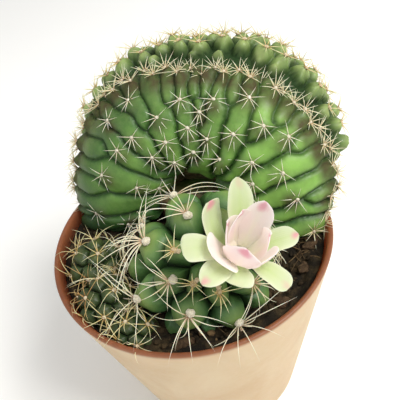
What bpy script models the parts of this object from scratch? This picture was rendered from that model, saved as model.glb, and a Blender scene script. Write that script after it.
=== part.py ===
"""Crested chin cactus (a fan-shaped, crested Gymnocalycium) growing in a small round nursery pot.

The fan stem, the normal globular head in front of it and three small offsets each stand in the potting
mix on their own root collar.  A half-open flower sits on the front head.  Z is up, the pot's underside
lies on z = 0 with its centre at the origin, and the front of the plant faces -Y.
"""
import math

import bmesh
import bpy
import numpy as np
from mathutils import Vector

# ---------------------------------------------------------------- driving dimensions (millimetres)
MM = 0.001
POT_HEIGHT = 55.0
POT_TOP_R = 32.5
POT_BASE_R = 21.5
POT_WALL = 1.4
POT_FLOOR = 1.6
DRAIN_R = 2.5            # drain hole radius
DRAIN_CIRCLE = 13.0      # distance of the drain holes from the pot's axis
DRAIN_COUNT = 4
GAP = 0.3                # clearance between pieces that touch
SOIL_TOP = POT_HEIGHT - 3.0
SEAT = SOIL_TOP + 0.35   # underside of everything that lies on the mix

# crested fan: a thick disc sector that opens downwards round a hub
FAN_TURN = -20.0         # degrees about Z
FAN_LEAN = 20.0          # degrees backwards
FAN_NORMAL_TILT = 8.0
FAN_HUB = (3.5, 9.0, POT_HEIGHT)
FAN_HALF_WIDTH = 31.0
FAN_HEIGHT = 32.6
FAN_SQUARENESS = 2.45
FAN_REACH = 111.0        # half angle of the sector, degrees
FAN_END_ROUND = 16.0
FAN_RIBS = 23
FAN_RIB_DEPTH = 0.75
FAN_SKEW = 0.20          # the back is thicker on the right
# uneven growth of the outline: (sector angle in degrees, spread in degrees, share added to the radius)
FAN_GROWTH = ((-45.0, 24.0, -0.015), (85.0, 24.0, 0.055), (-92.0, 15.0, 0.03))
# half-section of the fan: (share of the radius, distance from the mid plane), front hub to back hub
FAN_SECTION = ((0.10, -1.5), (0.19, 3.0), (0.32, 7.6), (0.56, 9.8), (0.80, 8.6), (0.93, 5.2), (1.0, 0.3),
               (1.035, -5.0), (1.06, -10.0), (1.035, -15.0), (0.93, -18.3), (0.72, -19.0), (0.47, -17.0),
               (0.22, -13.0), (0.08, -8.0))

# globular heads: name, centre, radius, axis, tubercles, collar radius, collar depth
HEADS = (
    ("front_head", (1.0, -11.2, POT_HEIGHT - 1.0), 13.9, (0.18, -0.59, 0.79), 26, 7.0, 16.0),
    ("offset_head_upper", (-22.6, -1.8, POT_HEIGHT - 3.0), 5.9, (-0.35, -0.25, 0.9), 13, 2.4, 8.0),
    ("offset_head_middle", (-20.6, -13.6, POT_HEIGHT - 2.6), 5.6, (-0.3, -0.45, 0.85), 13, 2.4, 8.0),
    ("offset_head_lower", (-14.3, -22.7, POT_HEIGHT - 4.2), 4.7, (-0.2, -0.55, 0.8), 11, 2.0, 7.0),
)

# flower
FLOWER_THROAT = (9.1, -20.6, POT_HEIGHT + 12.5)
FLOWER_AXIS = (0.37, -0.28, 0.886)
TUBE_TOP_R = 3.05
TUBE_LENGTH = 8.0
OUTER_RING_R = 2.5
INNER_RING_R = 1.72
PETAL_THICK = 0.45
OUTER_TWIST = 7.0        # degrees
INNER_TWIST = 19.0
# azimuth, sideways bend, opening angle at the foot and at the tip (degrees from the flower's axis), length, width
OUTER_PETALS = ((94, 0, 30, 64, 12.8, 5.0), (145, -20, 80, 30, 9.9, 4.0), (180, 0, 50, 98, 10.7, 4.7),
                (215, 0, 50, 104, 9.9, 4.4), (251, 0, 46, 96, 6.8, 3.8), (303, 0, 46, 90, 9.4, 4.2),
                (7, 0, 44, 84, 9.7, 4.2))
INNER_PETALS = ((60, 0, 24, 14, 11.4, 4.0), (120, 0, 24, 8, 10.0, 3.4), (160, 0, 32, -6, 9.1, 3.2),
                (202, 0, 40, 0, 9.5, 3.2), (240, 0, 40, -8, 8.5, 3.2), (288, 0, 38, -8, 9.0, 3.2),
                (343, 0, 30, -4, 8.2, 3.4))


# ---------------------------------------------------------------- scene and mesh helpers
for old in list(bpy.data.objects):
    bpy.data.objects.remove(old, do_unlink=True)

COLL = bpy.context.scene.collection
ROOT = bpy.data.objects.new("plant_in_pot", None)
COLL.objects.link(ROOT)


def material(name, rgb, rough, metal=0.0):
    mat = bpy.data.materials.new(name)
    mat.use_nodes = True
    bsdf = mat.node_tree.nodes["Principled BSDF"]
    bsdf.inputs["Base Color"].default_value = (rgb[0], rgb[1], rgb[2], 1.0)
    bsdf.inputs["Roughness"].default_value = rough
    bsdf.inputs["Metallic"].default_value = metal
    return mat


def add_object(name, verts, faces, mat):
    """object from millimetre points; faces are turned outwards and the shading is smooth"""
    mesh = bpy.data.meshes.new(name)
    mesh.from_pydata([Vector(v) * MM for v in verts], [], [tuple(f) for f in faces])
    bm = bmesh.new()
    bm.from_mesh(mesh)
    bmesh.ops.remove_doubles(bm, verts=bm.verts, dist=1e-6)
    bmesh.ops.recalc_face_normals(bm, faces=bm.faces)
    if bm.calc_volume(signed=True) < 0:
        bmesh.ops.reverse_faces(bm, faces=bm.faces)
    bm.to_mesh(mesh)
    bm.free()
    mesh.materials.append(mat)
    obj = bpy.data.objects.new(name, mesh)
    COLL.objects.link(obj)
    obj.parent = ROOT
    finish_shading(obj)
    return obj


def finish_shading(obj, angle=40.0):
    obj.data.shade_smooth()
    obj.data.set_sharp_from_angle(angle=math.radians(angle))


def boolean(obj, other, operation, keep_other=False):
    """exact Boolean, applied"""
    mod = obj.modifiers.new("boolean", "BOOLEAN")
    mod.operation = operation
    mod.solver = "EXACT"
    mod.object = other
    deps = bpy.context.evaluated_depsgraph_get()
    result = bpy.data.meshes.new_from_object(obj.evaluated_get(deps), depsgraph=deps)
    obj.modifiers.remove(mod)
    mats = [m for m in obj.data.materials]
    result.materials.clear()
    for m in mats[:1]:
        result.materials.append(m)
    for poly in result.polygons:
        poly.material_index = 0
    result.name = obj.name
    obj.data = result
    if not keep_other:
        bpy.data.objects.remove(other, do_unlink=True)
    finish_shading(obj)


def loft(rings, close_start=True, close_end=True):
    """closed skin over equal rings of points, each end filled by a fan to its middle point"""
    n = len(rings[0])
    verts = [tuple(p) for ring in rings for p in ring]
    faces = []
    for i in range(len(rings) - 1):
        a, b = i * n, (i + 1) * n
        for j in range(n):
            k = (j + 1) % n
            faces.append((a + j, a + k, b + k, b + j))
    if close_start:
        c = len(verts)
        verts.append(tuple(np.mean(np.asarray(rings[0]), axis=0)))
        faces += [(c, (j + 1) % n, j) for j in range(n)]
    if close_end:
        c = len(verts)
        last = (len(rings) - 1) * n
        verts.append(tuple(np.mean(np.asarray(rings[-1]), axis=0)))
        faces += [(c, last + j, last + (j + 1) % n) for j in range(n)]
    return verts, faces


def turned(profile, segments, centre=(0.0, 0.0), closed_profile=False):
    """rings of a profile ((radius, z), ...) turned about a vertical axis"""
    ang = np.arange(segments) * 2 * math.pi / segments
    return [[(centre[0] + r * math.cos(a), centre[1] + r * math.sin(a), z) for a in ang] for r, z in profile]


def closed_curve(points, count):
    """smooth closed curve through the points"""
    pts = np.asarray(points, float)
    m = len(pts)
    s = np.arange(count) * m / count
    i = s.astype(int)
    f = (s - i)[:, None]
    a, b, c, d = pts[(i - 1) % m], pts[i % m], pts[(i + 1) % m], pts[(i + 2) % m]
    return 0.5 * (2 * b + (c - a) * f + (2 * a - 5 * b + 4 * c - d) * f ** 2 + (3 * b - a - 3 * c + d) * f ** 3)


def unit(v):
    v = np.asarray(v, float)
    return v / np.linalg.norm(v)


def cross_frame(axis):
    """two unit vectors square to an axis, the first as near +X as can be"""
    axis = unit(axis)
    e1 = unit(np.array([1.0, 0.0, 0.0]) - axis[0] * axis)
    return axis, e1, np.cross(axis, e1)


def pot_inner_r(z):
    return POT_BASE_R + (POT_TOP_R - POT_BASE_R) * z / POT_HEIGHT - POT_WALL


def keep_in_pot(points, clear=0.5):
    """pull points that would pass through the wall or the rim back inside the pot"""
    p = np.array(points, float)
    z = p[..., 2]
    r = np.hypot(p[..., 0], p[..., 1]) + 1e-9
    limit = np.where(z < POT_HEIGHT + 0.9, pot_inner_r(np.minimum(z, POT_HEIGHT)) - clear,
                     pot_inner_r(POT_HEIGHT) - clear + (z - POT_HEIGHT - 0.9) * 1.3)
    s = np.minimum(1.0, limit / r)
    p[..., 0] *= s
    p[..., 1] *= s
    return p


# ---------------------------------------------------------------- materials
M_POT = material("pot_plastic", (0.46, 0.20, 0.11), 0.42)
M_MIX = material("potting_mix", (0.030, 0.020, 0.012), 0.95)
M_FAN = material("crest_skin", (0.11, 0.20, 0.06), 0.5)
M_HEAD = material("head_skin", (0.05, 0.13, 0.05), 0.5)
M_TUBE = material("flower_tube_skin", (0.30, 0.38, 0.14), 0.5)
M_PETAL = material("petal", (0.78, 0.84, 0.46), 0.55)
M_INNER = material("inner_petal", (0.86, 0.72, 0.66), 0.55)
M_STAMEN = material("stamen", (0.85, 0.66, 0.22), 0.7)
M_CHIP = material("bark_chip", (0.30, 0.19, 0.10), 0.9)


# ---------------------------------------------------------------- pot
def build_pot():
    slope = (POT_TOP_R - POT_BASE_R) / POT_HEIGHT
    outer = [(POT_BASE_R - 1.2, 0.0), (POT_BASE_R - 0.3, 0.35), (POT_BASE_R + slope * 1.2, 1.2)]
    for z in (18.0, 36.0, POT_HEIGHT - 0.55):
        outer.append((POT_BASE_R + slope * z, z))
    rim = [(POT_TOP_R - 0.35, POT_HEIGHT - 0.1), (POT_TOP_R - POT_WALL * 0.5, POT_HEIGHT),
           (POT_TOP_R - POT_WALL + 0.3, POT_HEIGHT - 0.12), (pot_inner_r(POT_HEIGHT - 0.6), POT_HEIGHT - 0.6)]
    inner = [(pot_inner_r(z), z) for z in (36.0, 18.0, POT_FLOOR + 1.2)]
    inner += [(pot_inner_r(POT_FLOOR) - 0.9, POT_FLOOR)]
    verts, faces = loft(turned(outer + rim + inner, 56))
    pot = add_object("pot", verts, faces, M_POT)
    for k in range(DRAIN_COUNT):
        a = math.radians(45) + k * 2 * math.pi / DRAIN_COUNT
        v, f = loft(turned([(DRAIN_R, -2.0), (DRAIN_R, POT_FLOOR + 2.0)], 16,
                           (DRAIN_CIRCLE * math.cos(a), DRAIN_CIRCLE * math.sin(a))))
        boolean(pot, add_object("drain_cutter", v, f, M_POT), "DIFFERENCE")
    return pot


# ---------------------------------------------------------------- potting mix
def mix_height(x, y):
    """gently lumpy top of the mix; never above SOIL_TOP"""
    lump = 0.5 + 0.22 * math.sin(0.31 * x + 1.0) * math.cos(0.27 * y) + 0.18 * math.sin(0.55 * x - 0.42 * y + 2.0)
    return SOIL_TOP - 0.9 * max(0.0, min(1.0, lump))


def build_mix():
    segments = 40
    rings = turned([(pot_inner_r(POT_FLOOR + GAP) - 1.6, POT_FLOOR + GAP),
                    (pot_inner_r(POT_FLOOR + 1.6) - GAP, POT_FLOOR + 1.6),
                    (pot_inner_r(26.0) - GAP, 26.0),
                    (pot_inner_r(SOIL_TOP - 1.0) - GAP, SOIL_TOP - 1.0)], segments)
    for r in (pot_inner_r(SOIL_TOP) - 1.0, 24.0, 18.0, 11.0, 5.0):
        ring = turned([(r, 0.0)], segments)[0]
        rings.append([(x, y, mix_height(x, y)) for x, y, _ in ring])
    verts, faces = loft(rings)
    return add_object("potting_mix", verts, faces, M_MIX)


def collar(centre, rx, ry, depth, top, grow=0.0, segments=20):
    """tapered root collar that plugs a stem into the mix"""
    profile = [(0.62, SOIL_TOP - depth), (0.80, SOIL_TOP - depth * 0.55), (0.95, SOIL_TOP - 1.5), (1.0, top)]
    if grow:
        profile[0] = (0.62, SOIL_TOP - depth - grow)
    ang = np.arange(segments) * 2 * math.pi / segments
    rings = [[(centre[0] + (rx * k + grow) * math.cos(a), centre[1] + (ry * k + grow) * math.sin(a), z)
              for a in ang] for k, z in profile]
    return loft(rings)


def trim_below(obj, z):
    """cut away everything below a level"""
    s = 60.0
    verts = [(x, y, h) for h in (z - 80.0, z) for x, y in ((-s, -s), (s, -s), (s, s), (-s, s))]
    faces = [(0, 3, 2, 1), (4, 5, 6, 7), (0, 1, 5, 4), (1, 2, 6, 5), (2, 3, 7, 6), (3, 0, 4, 7)]
    boolean(obj, add_object("trim_cutter", verts, faces, M_MIX), "DIFFERENCE")


# ---------------------------------------------------------------- crested fan
def fan_axes():
    p, t, n = (math.radians(v) for v in (FAN_TURN, FAN_LEAN, FAN_NORMAL_TILT))
    across = np.array([math.cos(p), math.sin(p), 0.0])
    back = np.array([-math.sin(p), math.cos(p), 0.0])
    up = np.array([0.0, 0.0, 1.0])
    return across, math.cos(t) * up + math.sin(t) * back, -math.cos(n) * back + math.sin(n) * up


def fan_ring(t, count):
    """closed section of the fan at sector angle t, with the ribs' swell"""
    across, up, normal = fan_axes()
    reach, end = math.radians(FAN_REACH), math.radians(FAN_END_ROUND)
    a = abs(t)
    radius = (abs(math.sin(t) / FAN_HALF_WIDTH) ** FAN_SQUARENESS
              + abs(math.cos(t) / FAN_HEIGHT) ** FAN_SQUARENESS) ** (-1.0 / FAN_SQUARENESS)
    radius *= 1.0 + sum(g * math.exp(-((math.degrees(t) - c) / w) ** 2) for c, w, g in FAN_GROWTH)
    direction = math.sin(t) * across + math.cos(t) * up
    sec = closed_curve(FAN_SECTION, count)
    rho, w = sec[:, 0].copy(), sec[:, 1].copy()
    # rib swell, strongest towards the growing edge
    wave = np.cos(FAN_RIBS * (t + 0.035 * np.sin(9.0 * rho + 4.0 * t)) * math.pi / reach)
    swell = FAN_RIB_DEPTH * wave * np.clip((rho - 0.15) / 0.5, 0.0, 1.0)
    slim = 1.0 - 0.22 * min(1.0, max(0.0, (a - math.radians(35)) / math.radians(75)))
    w = np.where(w < 0, w * (1.0 + FAN_SKEW * math.sin(t)), w) * slim
    rho, w = rho * radius, w
    centre = np.array([0.52 * radius, -4.5])
    out = np.stack([rho, w], 1) - centre
    length = np.linalg.norm(out, axis=1, keepdims=True)
    out = out * (1.0 + swell[:, None] / np.maximum(length, 1.0))
    k = 1.0
    if a > reach - end:
        x = (a - (reach - end)) / end
        k = math.sqrt(max(0.0, 1.0 - x * x))
    rho, w = (centre + out * k).T
    return np.array(FAN_HUB) + rho[:, None] * direction + w[:, None] * normal


FAN_COLLAR = ((4.5, 12.0), 11.5, 7.5, 20.0)   # centre, half axes, depth


def build_fan():
    reach = math.radians(FAN_REACH)
    steps, count = 82, 22
    rings = []
    for i in range(steps + 1):
        t = -reach * 0.995 + 2 * reach * 0.995 * i / steps
        rings.append(keep_in_pot(fan_ring(t, count)))
    verts, faces = loft(rings)
    fan = add_object("crested_stem", verts, faces, M_FAN)
    trim_below(fan, SEAT)
    c, rx, ry, depth = FAN_COLLAR
    v, f = collar(c, rx, ry, depth, POT_HEIGHT + 5.0, segments=24)
    boolean(fan, add_object("fan_collar", v, f, M_FAN), "UNION")
    return fan


# ---------------------------------------------------------------- globular heads
def spiral_directions(count, reach_deg):
    """tubercle tips on a golden-angle spiral from the growing point outwards (axis = +z)"""
    out = []
    for k in range(count):
        c = 1.0 - (1.0 - math.cos(math.radians(reach_deg))) * (k + 0.6) / count
        s = math.sqrt(max(0.0, 1.0 - c * c))
        a = k * math.radians(137.508)
        out.append((s * math.cos(a), s * math.sin(a), c))
    return np.array(out)


def head_points(centre, radius, axis, tubercles, rows, cols, scale=1.0):
    ax, e1, e2 = cross_frame(axis)
    tips = spiral_directions(tubercles, 118.0)
    width = 0.95 * math.sqrt(2.0 * (1 - math.cos(math.radians(118.0))) / tubercles)
    rings = []
    for i in range(1, rows):
        v = math.pi * i / rows
        ring = []
        for j in range(cols):
            u = 2 * math.pi * j / cols
            d = np.array([math.sin(v) * math.cos(u), math.sin(v) * math.sin(u), math.cos(v)])
            dist = np.min(np.linalg.norm(tips - d, axis=1)) / width
            bump = 0.12 * math.exp(-(dist * 1.25) ** 2) - 0.05
            r = radius * (1.0 + bump) * scale
            ring.append(np.array(centre) + r * (d[0] * e1 + d[1] * e2 + d[2] * ax))
        rings.append(keep_in_pot(ring, 0.6))
    return rings


def build_head(name, centre, radius, axis, tubercles, collar_r, depth):
    rows, cols = (16, 30) if radius > 10 else (10, 16)
    verts, faces = loft(head_points(centre, radius, axis, tubercles, rows, cols))
    head = add_object(name, verts, faces, M_HEAD)
    trim_below(head, SEAT)
    v, f = collar(centre, collar_r, collar_r, depth, SOIL_TOP + 0.45 * radius * 0.5 + 0.6, segments=16)
    boolean(head, add_object("head_collar", v, f, M_HEAD), "UNION")
    return head


# ---------------------------------------------------------------- flower
def flower_frame():
    return cross_frame(FLOWER_AXIS)


def build_tube():
    """short fleshy tube under the petals, seated on the front head"""
    ax, e1, e2 = flower_frame()
    throat = np.array(FLOWER_THROAT)
    n = 18
    ang = np.arange(n) * 2 * math.pi / n
    profile = ((2.0, -TUBE_LENGTH), (2.15, -5.2), (2.45, -3.2), (2.95, -1.2), (TUBE_TOP_R, -0.35), (2.75, 0.0))
    rings = [[throat + h * ax + r * (math.cos(a) * e1 + math.sin(a) * e2) for a in ang] for r, h in profile]
    verts, faces = loft(rings)
    tube = add_object("flower_tube", verts, faces, M_TUBE)
    name, centre, radius, axis, tubercles, _, _ = HEADS[0]
    v, f = loft(head_points(centre, radius, axis, tubercles, 16, 30, scale=(radius + GAP + 0.05) / radius))
    boolean(tube, add_object("tube_seat_cutter", v, f, M_TUBE), "DIFFERENCE")
    return tube


def petal_rings(spec, ring_r, thick, twist, steps=9, around=8, start=0.42, base_share=0.3, late=0.79):
    """flattened, cupped tube that follows a curved mid line out of the throat; the twist lets
    neighbours overlap like tiles without touching"""
    azimuth, bend, foot, tip, length, width = spec
    ax, e1, e2 = flower_frame()
    pos = np.array([ring_r, start])
    rings = []
    fine = 60
    path = []
    for i in range(fine + 1):
        s = i / fine
        ang = math.radians(foot + (tip - foot) * (late * s * s * (3 - 2 * s) + (1 - late) * s))
        path.append((pos.copy(), ang))
        pos = pos + np.array([math.sin(ang), math.cos(ang)]) * (length / fine)
    for i in range(steps):
        s = 0.985 * i / (steps - 1)
        (r, h), ang = path[int(round(s * fine))]
        az = math.radians(azimuth + bend * s)
        radial = math.cos(az) * e1 + math.sin(az) * e2
        side = -math.sin(az) * e1 + math.cos(az) * e2
        inward = math.cos(ang) * -radial + math.sin(ang) * ax
        grow = min(1.0, s / 0.55)
        grow = grow * grow * (3 - 2 * grow)
        w = 0.5 * width * (base_share + (1 - base_share) * grow)
        if s > 0.6:
            w *= math.sqrt(max(0.0, 1 - ((s - 0.6) / 0.4) ** 2.4))
        t = 0.5 * thick * (1.0 - 0.35 * s)
        ring = []
        for j in range(around):
            a = 2 * math.pi * j / around
            x = w * math.cos(a)
            cup = 0.16 * x * x / max(width * 0.5, 0.1)
            lift = t * math.sin(a) + cup
            tw = math.radians(twist) * min(1.0, s / 0.3)
            ring.append(np.array(FLOWER_THROAT) + r * radial + h * ax
                        + (x * math.cos(tw) - lift * math.sin(tw)) * side
                        + (x * math.sin(tw) + lift * math.cos(tw)) * inward)
        rings.append(ring)
    return rings


def build_petals():
    for k, spec in enumerate(OUTER_PETALS):
        v, f = loft(petal_rings(spec, OUTER_RING_R, PETAL_THICK, OUTER_TWIST))
        add_object("outer_petal_%d" % (k + 1), v, f, M_PETAL)
    for k, spec in enumerate(INNER_PETALS):
        v, f = loft(petal_rings(spec, INNER_RING_R, PETAL_THICK * 0.85, INNER_TWIST, base_share=0.26, late=0.0))
        add_object("inner_petal_%d" % (k + 1), v, f, M_INNER)


def build_style_and_stamens():
    ax, e1, e2 = flower_frame()
    throat = np.array(FLOWER_THROAT)
    n = 8
    ang = np.arange(n) * 2 * math.pi / n
    prof = ((0.32, GAP), (0.30, 2.6), (0.34, 3.4), (0.62, 3.9), (0.66, 4.5), (0.35, 4.9))
    rings = [[throat + h * ax + r * (math.cos(a) * e1 + math.sin(a) * e2) for a in ang] for r, h in prof]
    v, f = loft(rings)
    add_object("style", v, f, M_STAMEN)
    # the stamens stand round the style, joined in one ring at their feet
    count, per = 8, 6
    total = count * per
    verts, faces = [], []
    for i in range(total):
        az = 2 * math.pi * i / total
        radial = math.cos(az) * e1 + math.sin(az) * e2
        tall = i % per in (2, 3)
        for r, h in ((0.88, GAP), (1.24, GAP), (1.36 if tall else 1.28, 3.2 if tall else 1.1),
                     (1.02 if tall else 0.94, 3.2 if tall else 1.1)):
            verts.append(tuple(throat + h * ax + r * radial))
    for i in range(total):
        a, b = 4 * i, 4 * ((i + 1) % total)
        for j in range(4):
            k = (j + 1) % 4
            faces.append((a + j, a + k, b + k, b + j))
    add_object("stamens", verts, faces, M_STAMEN)


# ---------------------------------------------------------------- loose bark chips on the mix
CHIPS = (((26.0, -9.6), 1.9, 20.0), ((22.6, -15.2), 1.5, 75.0), ((15.5, -22.6), 1.6, 140.0), ((-5.4, -27.2), 1.7, 10.0))


def build_chips():
    for k, ((x, y), size, turn) in enumerate(CHIPS):
        t = math.radians(turn)
        z = max(mix_height(x + dx, y + dy) for dx in (-2, 0, 2) for dy in (-2, 0, 2)) + GAP + 0.05
        rings = []
        for share, h in ((0.75, 0.0), (1.0, 0.35), (0.9, 0.75), (0.55, 0.95)):
            ring = []
            for j in range(7):
                a = 2 * math.pi * j / 7
                r = size * share * (1.0 + 0.18 * math.sin(3 * a + k) + 0.1 * math.cos(2 * a + 2 * k))
                px, py = r * math.cos(a), 0.62 * r * math.sin(a)
                ring.append((x + px * math.cos(t) - py * math.sin(t), y + px * math.sin(t) + py * math.cos(t), z + h))
            rings.append(ring)
        v, f = loft(rings)
        add_object("bark_chip_%d" % (k + 1), v, f, M_CHIP)


# ---------------------------------------------------------------- assembly
build_pot()
mix = build_mix()
build_fan()
for spec in HEADS:
    build_head(*spec)

# sockets in the mix for the root collars
c, rx, ry, depth = FAN_COLLAR
v, f = collar(c, rx, ry, depth, POT_HEIGHT + 5.0, grow=GAP, segments=24)
boolean(mix, add_object("socket_cutter", v, f, M_MIX), "DIFFERENCE")
for _, centre, radius, _, _, collar_r, depth in HEADS:
    v, f = collar(centre, collar_r, collar_r, depth, POT_HEIGHT + 5.0, grow=GAP, segments=16)
    boolean(mix, add_object("socket_cutter", v, f, M_MIX), "DIFFERENCE")

build_tube()
build_petals()
build_style_and_stamens()
build_chips()
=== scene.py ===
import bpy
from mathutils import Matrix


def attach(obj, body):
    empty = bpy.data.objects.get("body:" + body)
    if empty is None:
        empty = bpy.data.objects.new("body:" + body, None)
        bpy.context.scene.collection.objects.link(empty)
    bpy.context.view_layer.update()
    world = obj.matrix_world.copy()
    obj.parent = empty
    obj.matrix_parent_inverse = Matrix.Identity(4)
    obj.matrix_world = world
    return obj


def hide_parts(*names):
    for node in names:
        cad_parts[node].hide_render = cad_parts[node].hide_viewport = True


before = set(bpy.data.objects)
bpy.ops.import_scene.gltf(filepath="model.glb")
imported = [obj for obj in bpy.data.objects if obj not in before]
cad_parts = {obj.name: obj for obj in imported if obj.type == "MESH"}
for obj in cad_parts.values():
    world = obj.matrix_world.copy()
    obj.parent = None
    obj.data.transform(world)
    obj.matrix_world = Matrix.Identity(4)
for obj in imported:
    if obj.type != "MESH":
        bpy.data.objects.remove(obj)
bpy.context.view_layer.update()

import math

import bmesh
import bpy
import numpy as np
from mathutils import Matrix, Vector

# =====================================================================================================
# dimensions in millimetres, the same as the frame's
# =====================================================================================================
MM = 0.001
POT_HEIGHT = 55.0
POT_TOP_R = 32.5
POT_BASE_R = 21.5
POT_WALL = 1.4
POT_FLOOR = 1.6
SOIL_TOP = POT_HEIGHT - 3.0

FAN_TURN, FAN_LEAN, FAN_NORMAL_TILT = -20.0, 20.0, 8.0
FAN_HUB = np.array([3.5, 9.0, POT_HEIGHT])
FAN_HALF_WIDTH, FAN_HEIGHT, FAN_SQUARENESS = 31.0, 32.6, 2.45
FAN_REACH, FAN_END_ROUND, FAN_SKEW = 111.0, 16.0, 0.20
FAN_GROWTH = ((-45.0, 24.0, -0.015), (85.0, 24.0, 0.055), (-92.0, 15.0, 0.03))
FAN_SECTION = np.array(((0.10, -1.5), (0.19, 3.0), (0.32, 7.6), (0.56, 9.8), (0.80, 8.6), (0.93, 5.2), (1.0, 0.3),
                        (1.035, -5.0), (1.06, -10.0), (1.035, -15.0), (0.93, -18.3), (0.72, -19.0), (0.47, -17.0),
                        (0.22, -13.0), (0.08, -8.0)))

FLOWER_THROAT = np.array([9.1, -20.6, POT_HEIGHT + 12.5])
FLOWER_AXIS = np.array([0.37, -0.28, 0.886])


# =====================================================================================================
# small numeric helpers
# =====================================================================================================
def unit(v):
    v = np.asarray(v, float)
    return v / np.maximum(np.linalg.norm(v, axis=-1, keepdims=True), 1e-12)


def smoothstep(a, b, x):
    x = np.clip((np.asarray(x, float) - a) / (b - a), 0.0, 1.0)
    return x * x * (3 - 2 * x)


def cross_frame(axis):
    axis = unit(axis)
    e1 = unit(np.array([1.0, 0.0, 0.0]) - axis[0] * axis)
    return axis, e1, np.cross(axis, e1)


def lattice(i, j, k, seed):
    h = (i.astype(np.int64) * 73856093) ^ (j.astype(np.int64) * 19349663) ^ (k.astype(np.int64) * 83492791)
    h = (h ^ (seed * 2654435761)) & 0xFFFFFFFF
    h = ((h ^ (h >> 15)) * 2246822519) & 0xFFFFFFFF
    h = ((h ^ (h >> 13)) * 3266489917) & 0xFFFFFFFF
    return ((h ^ (h >> 16)) & 0xFFFF) / 65535.0 * 2.0 - 1.0


def noise3(p, size, seed=0):
    """smooth value noise, -1 to 1, features of about `size` mm"""
    q = np.asarray(p, float) / size
    f = np.floor(q)
    u = q - f
    u = u * u * (3 - 2 * u)
    i, j, k = f[..., 0], f[..., 1], f[..., 2]
    out = 0.0
    for a in (0, 1):
        wa = u[..., 0] if a else 1 - u[..., 0]
        for b in (0, 1):
            wb = u[..., 1] if b else 1 - u[..., 1]
            for c in (0, 1):
                wc = u[..., 2] if c else 1 - u[..., 2]
                out = out + wa * wb * wc * lattice(i + a, j + b, k + c, seed)
    return out


def fractal(p, size, seed=0, octaves=3, gain=0.5):
    out, amp = 0.0, 1.0
    for o in range(octaves):
        out = out + amp * noise3(p, size / (2 ** o), seed + 17 * o)
        amp *= gain
    return out


def pot_inner_r(z):
    return POT_BASE_R + (POT_TOP_R - POT_BASE_R) * z / POT_HEIGHT - POT_WALL


def keep_in_pot(points, clear=0.5):
    p = np.array(points, float)
    z = p[..., 2]
    r = np.hypot(p[..., 0], p[..., 1]) + 1e-9
    limit = np.where(z < POT_HEIGHT + 0.9, pot_inner_r(np.minimum(z, POT_HEIGHT)) - clear,
                     pot_inner_r(POT_HEIGHT) - clear + (z - POT_HEIGHT - 0.9) * 1.3)
    s = np.minimum(1.0, limit / r)
    p[..., 0] *= s
    p[..., 1] *= s
    return p


# =====================================================================================================
# mesh helpers
# =====================================================================================================
def lin(rgb):
    """sRGB 0-255 to linear"""
    out = []
    for c in rgb:
        c = c / 255.0
        out.append(c / 12.92 if c <= 0.04045 else ((c + 0.055) / 1.055) ** 2.4)
    return tuple(out) + (1.0,)


def make_piece(name, verts, faces, material, attrs=None, replaces=(), sharp=None):
    """mesh object from millimetre points, riding on the plant's body"""
    mesh = bpy.data.meshes.new(name)
    mesh.from_pydata((np.asarray(verts, float) * MM).tolist(), [], [tuple(int(i) for i in f) for f in faces])
    for key, values in (attrs or {}).items():
        layer = mesh.attributes.new(key, "FLOAT", "POINT")
        layer.data.foreach_set("value", np.asarray(values, np.float32))
    bm = bmesh.new()
    bm.from_mesh(mesh)
    if bm.calc_volume(signed=True) < 0:
        bmesh.ops.reverse_faces(bm, faces=bm.faces)
    bm.to_mesh(mesh)
    bm.free()
    mesh.shade_smooth()
    if sharp is not None:
        mesh.set_sharp_from_angle(angle=math.radians(sharp))
    mesh.materials.append(material)
    obj = bpy.data.objects.new(name, mesh)
    bpy.context.scene.collection.objects.link(obj)
    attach(obj, "root")
    if replaces:
        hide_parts(*replaces)
    return obj


class Soup:
    """many small closed shapes gathered into one mesh"""

    def __init__(self):
        self.v, self.f, self.a, self.n = [], [], {}, 0

    def add(self, verts, faces, **attrs):
        verts = np.asarray(verts, float)
        self.v.append(verts)
        self.f += [tuple(i + self.n for i in face) for face in faces]
        for key, val in attrs.items():
            self.a.setdefault(key, []).append(np.broadcast_to(np.asarray(val, float), (len(verts),)))
        self.n += len(verts)

    def piece(self, name, material, slot, replaces=(), sharp=None):
        attrs = {k: np.concatenate(v) for k, v in self.a.items()}
        return make_piece(name, np.concatenate(self.v), self.f, material, attrs, replaces, sharp)


def grid_faces(rows, cols, wrap=True):
    out = []
    last = cols if wrap else cols - 1
    for i in range(rows - 1):
        a, b = i * cols, (i + 1) * cols
        for j in range(last):
            k = (j + 1) % cols
            out.append((a + j, a + k, b + k, b + j))
    return out


def capped(rows, cols, verts):
    """closed tube of rings: adds a middle point at each end"""
    v = np.asarray(verts, float).reshape(rows, cols, 3)
    faces = grid_faces(rows, cols)
    flat = v.reshape(-1, 3)
    c0, c1 = len(flat), len(flat) + 1
    flat = np.vstack([flat, v[0].mean(0), v[-1].mean(0)])
    last = (rows - 1) * cols
    faces += [(c0, (j + 1) % cols, j) for j in range(cols)]
    faces += [(c1, last + j, last + (j + 1) % cols) for j in range(cols)]
    return flat, faces


def tube_along(path, radii, sides=5, flat=1.0, ref=None):
    """closed tapering tube along a path; the last ring is tiny, so it reads as a point"""
    path = np.asarray(path, float)
    n = len(path)
    tan = unit(np.gradient(path, axis=0))
    ref = np.array([0.0, 0.0, 1.0]) if ref is None else np.asarray(ref, float)
    if abs(tan[0] @ unit(ref)) > 0.92:
        ref = np.array([1.0, 0.3, 0.0])
    e1 = unit(np.cross(tan, ref))
    e2 = np.cross(tan, e1)
    ang = np.arange(sides) * 2 * math.pi / sides
    rings = (path[:, None] + np.asarray(radii)[:, None, None]
             * (np.cos(ang)[None, :, None] * e1[:, None] + flat * np.sin(ang)[None, :, None] * e2[:, None]))
    verts, faces = capped(n, sides, rings)
    along = np.concatenate([np.repeat(np.linspace(0, 1, n), sides), [0, 1]])
    return verts, faces, along


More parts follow.
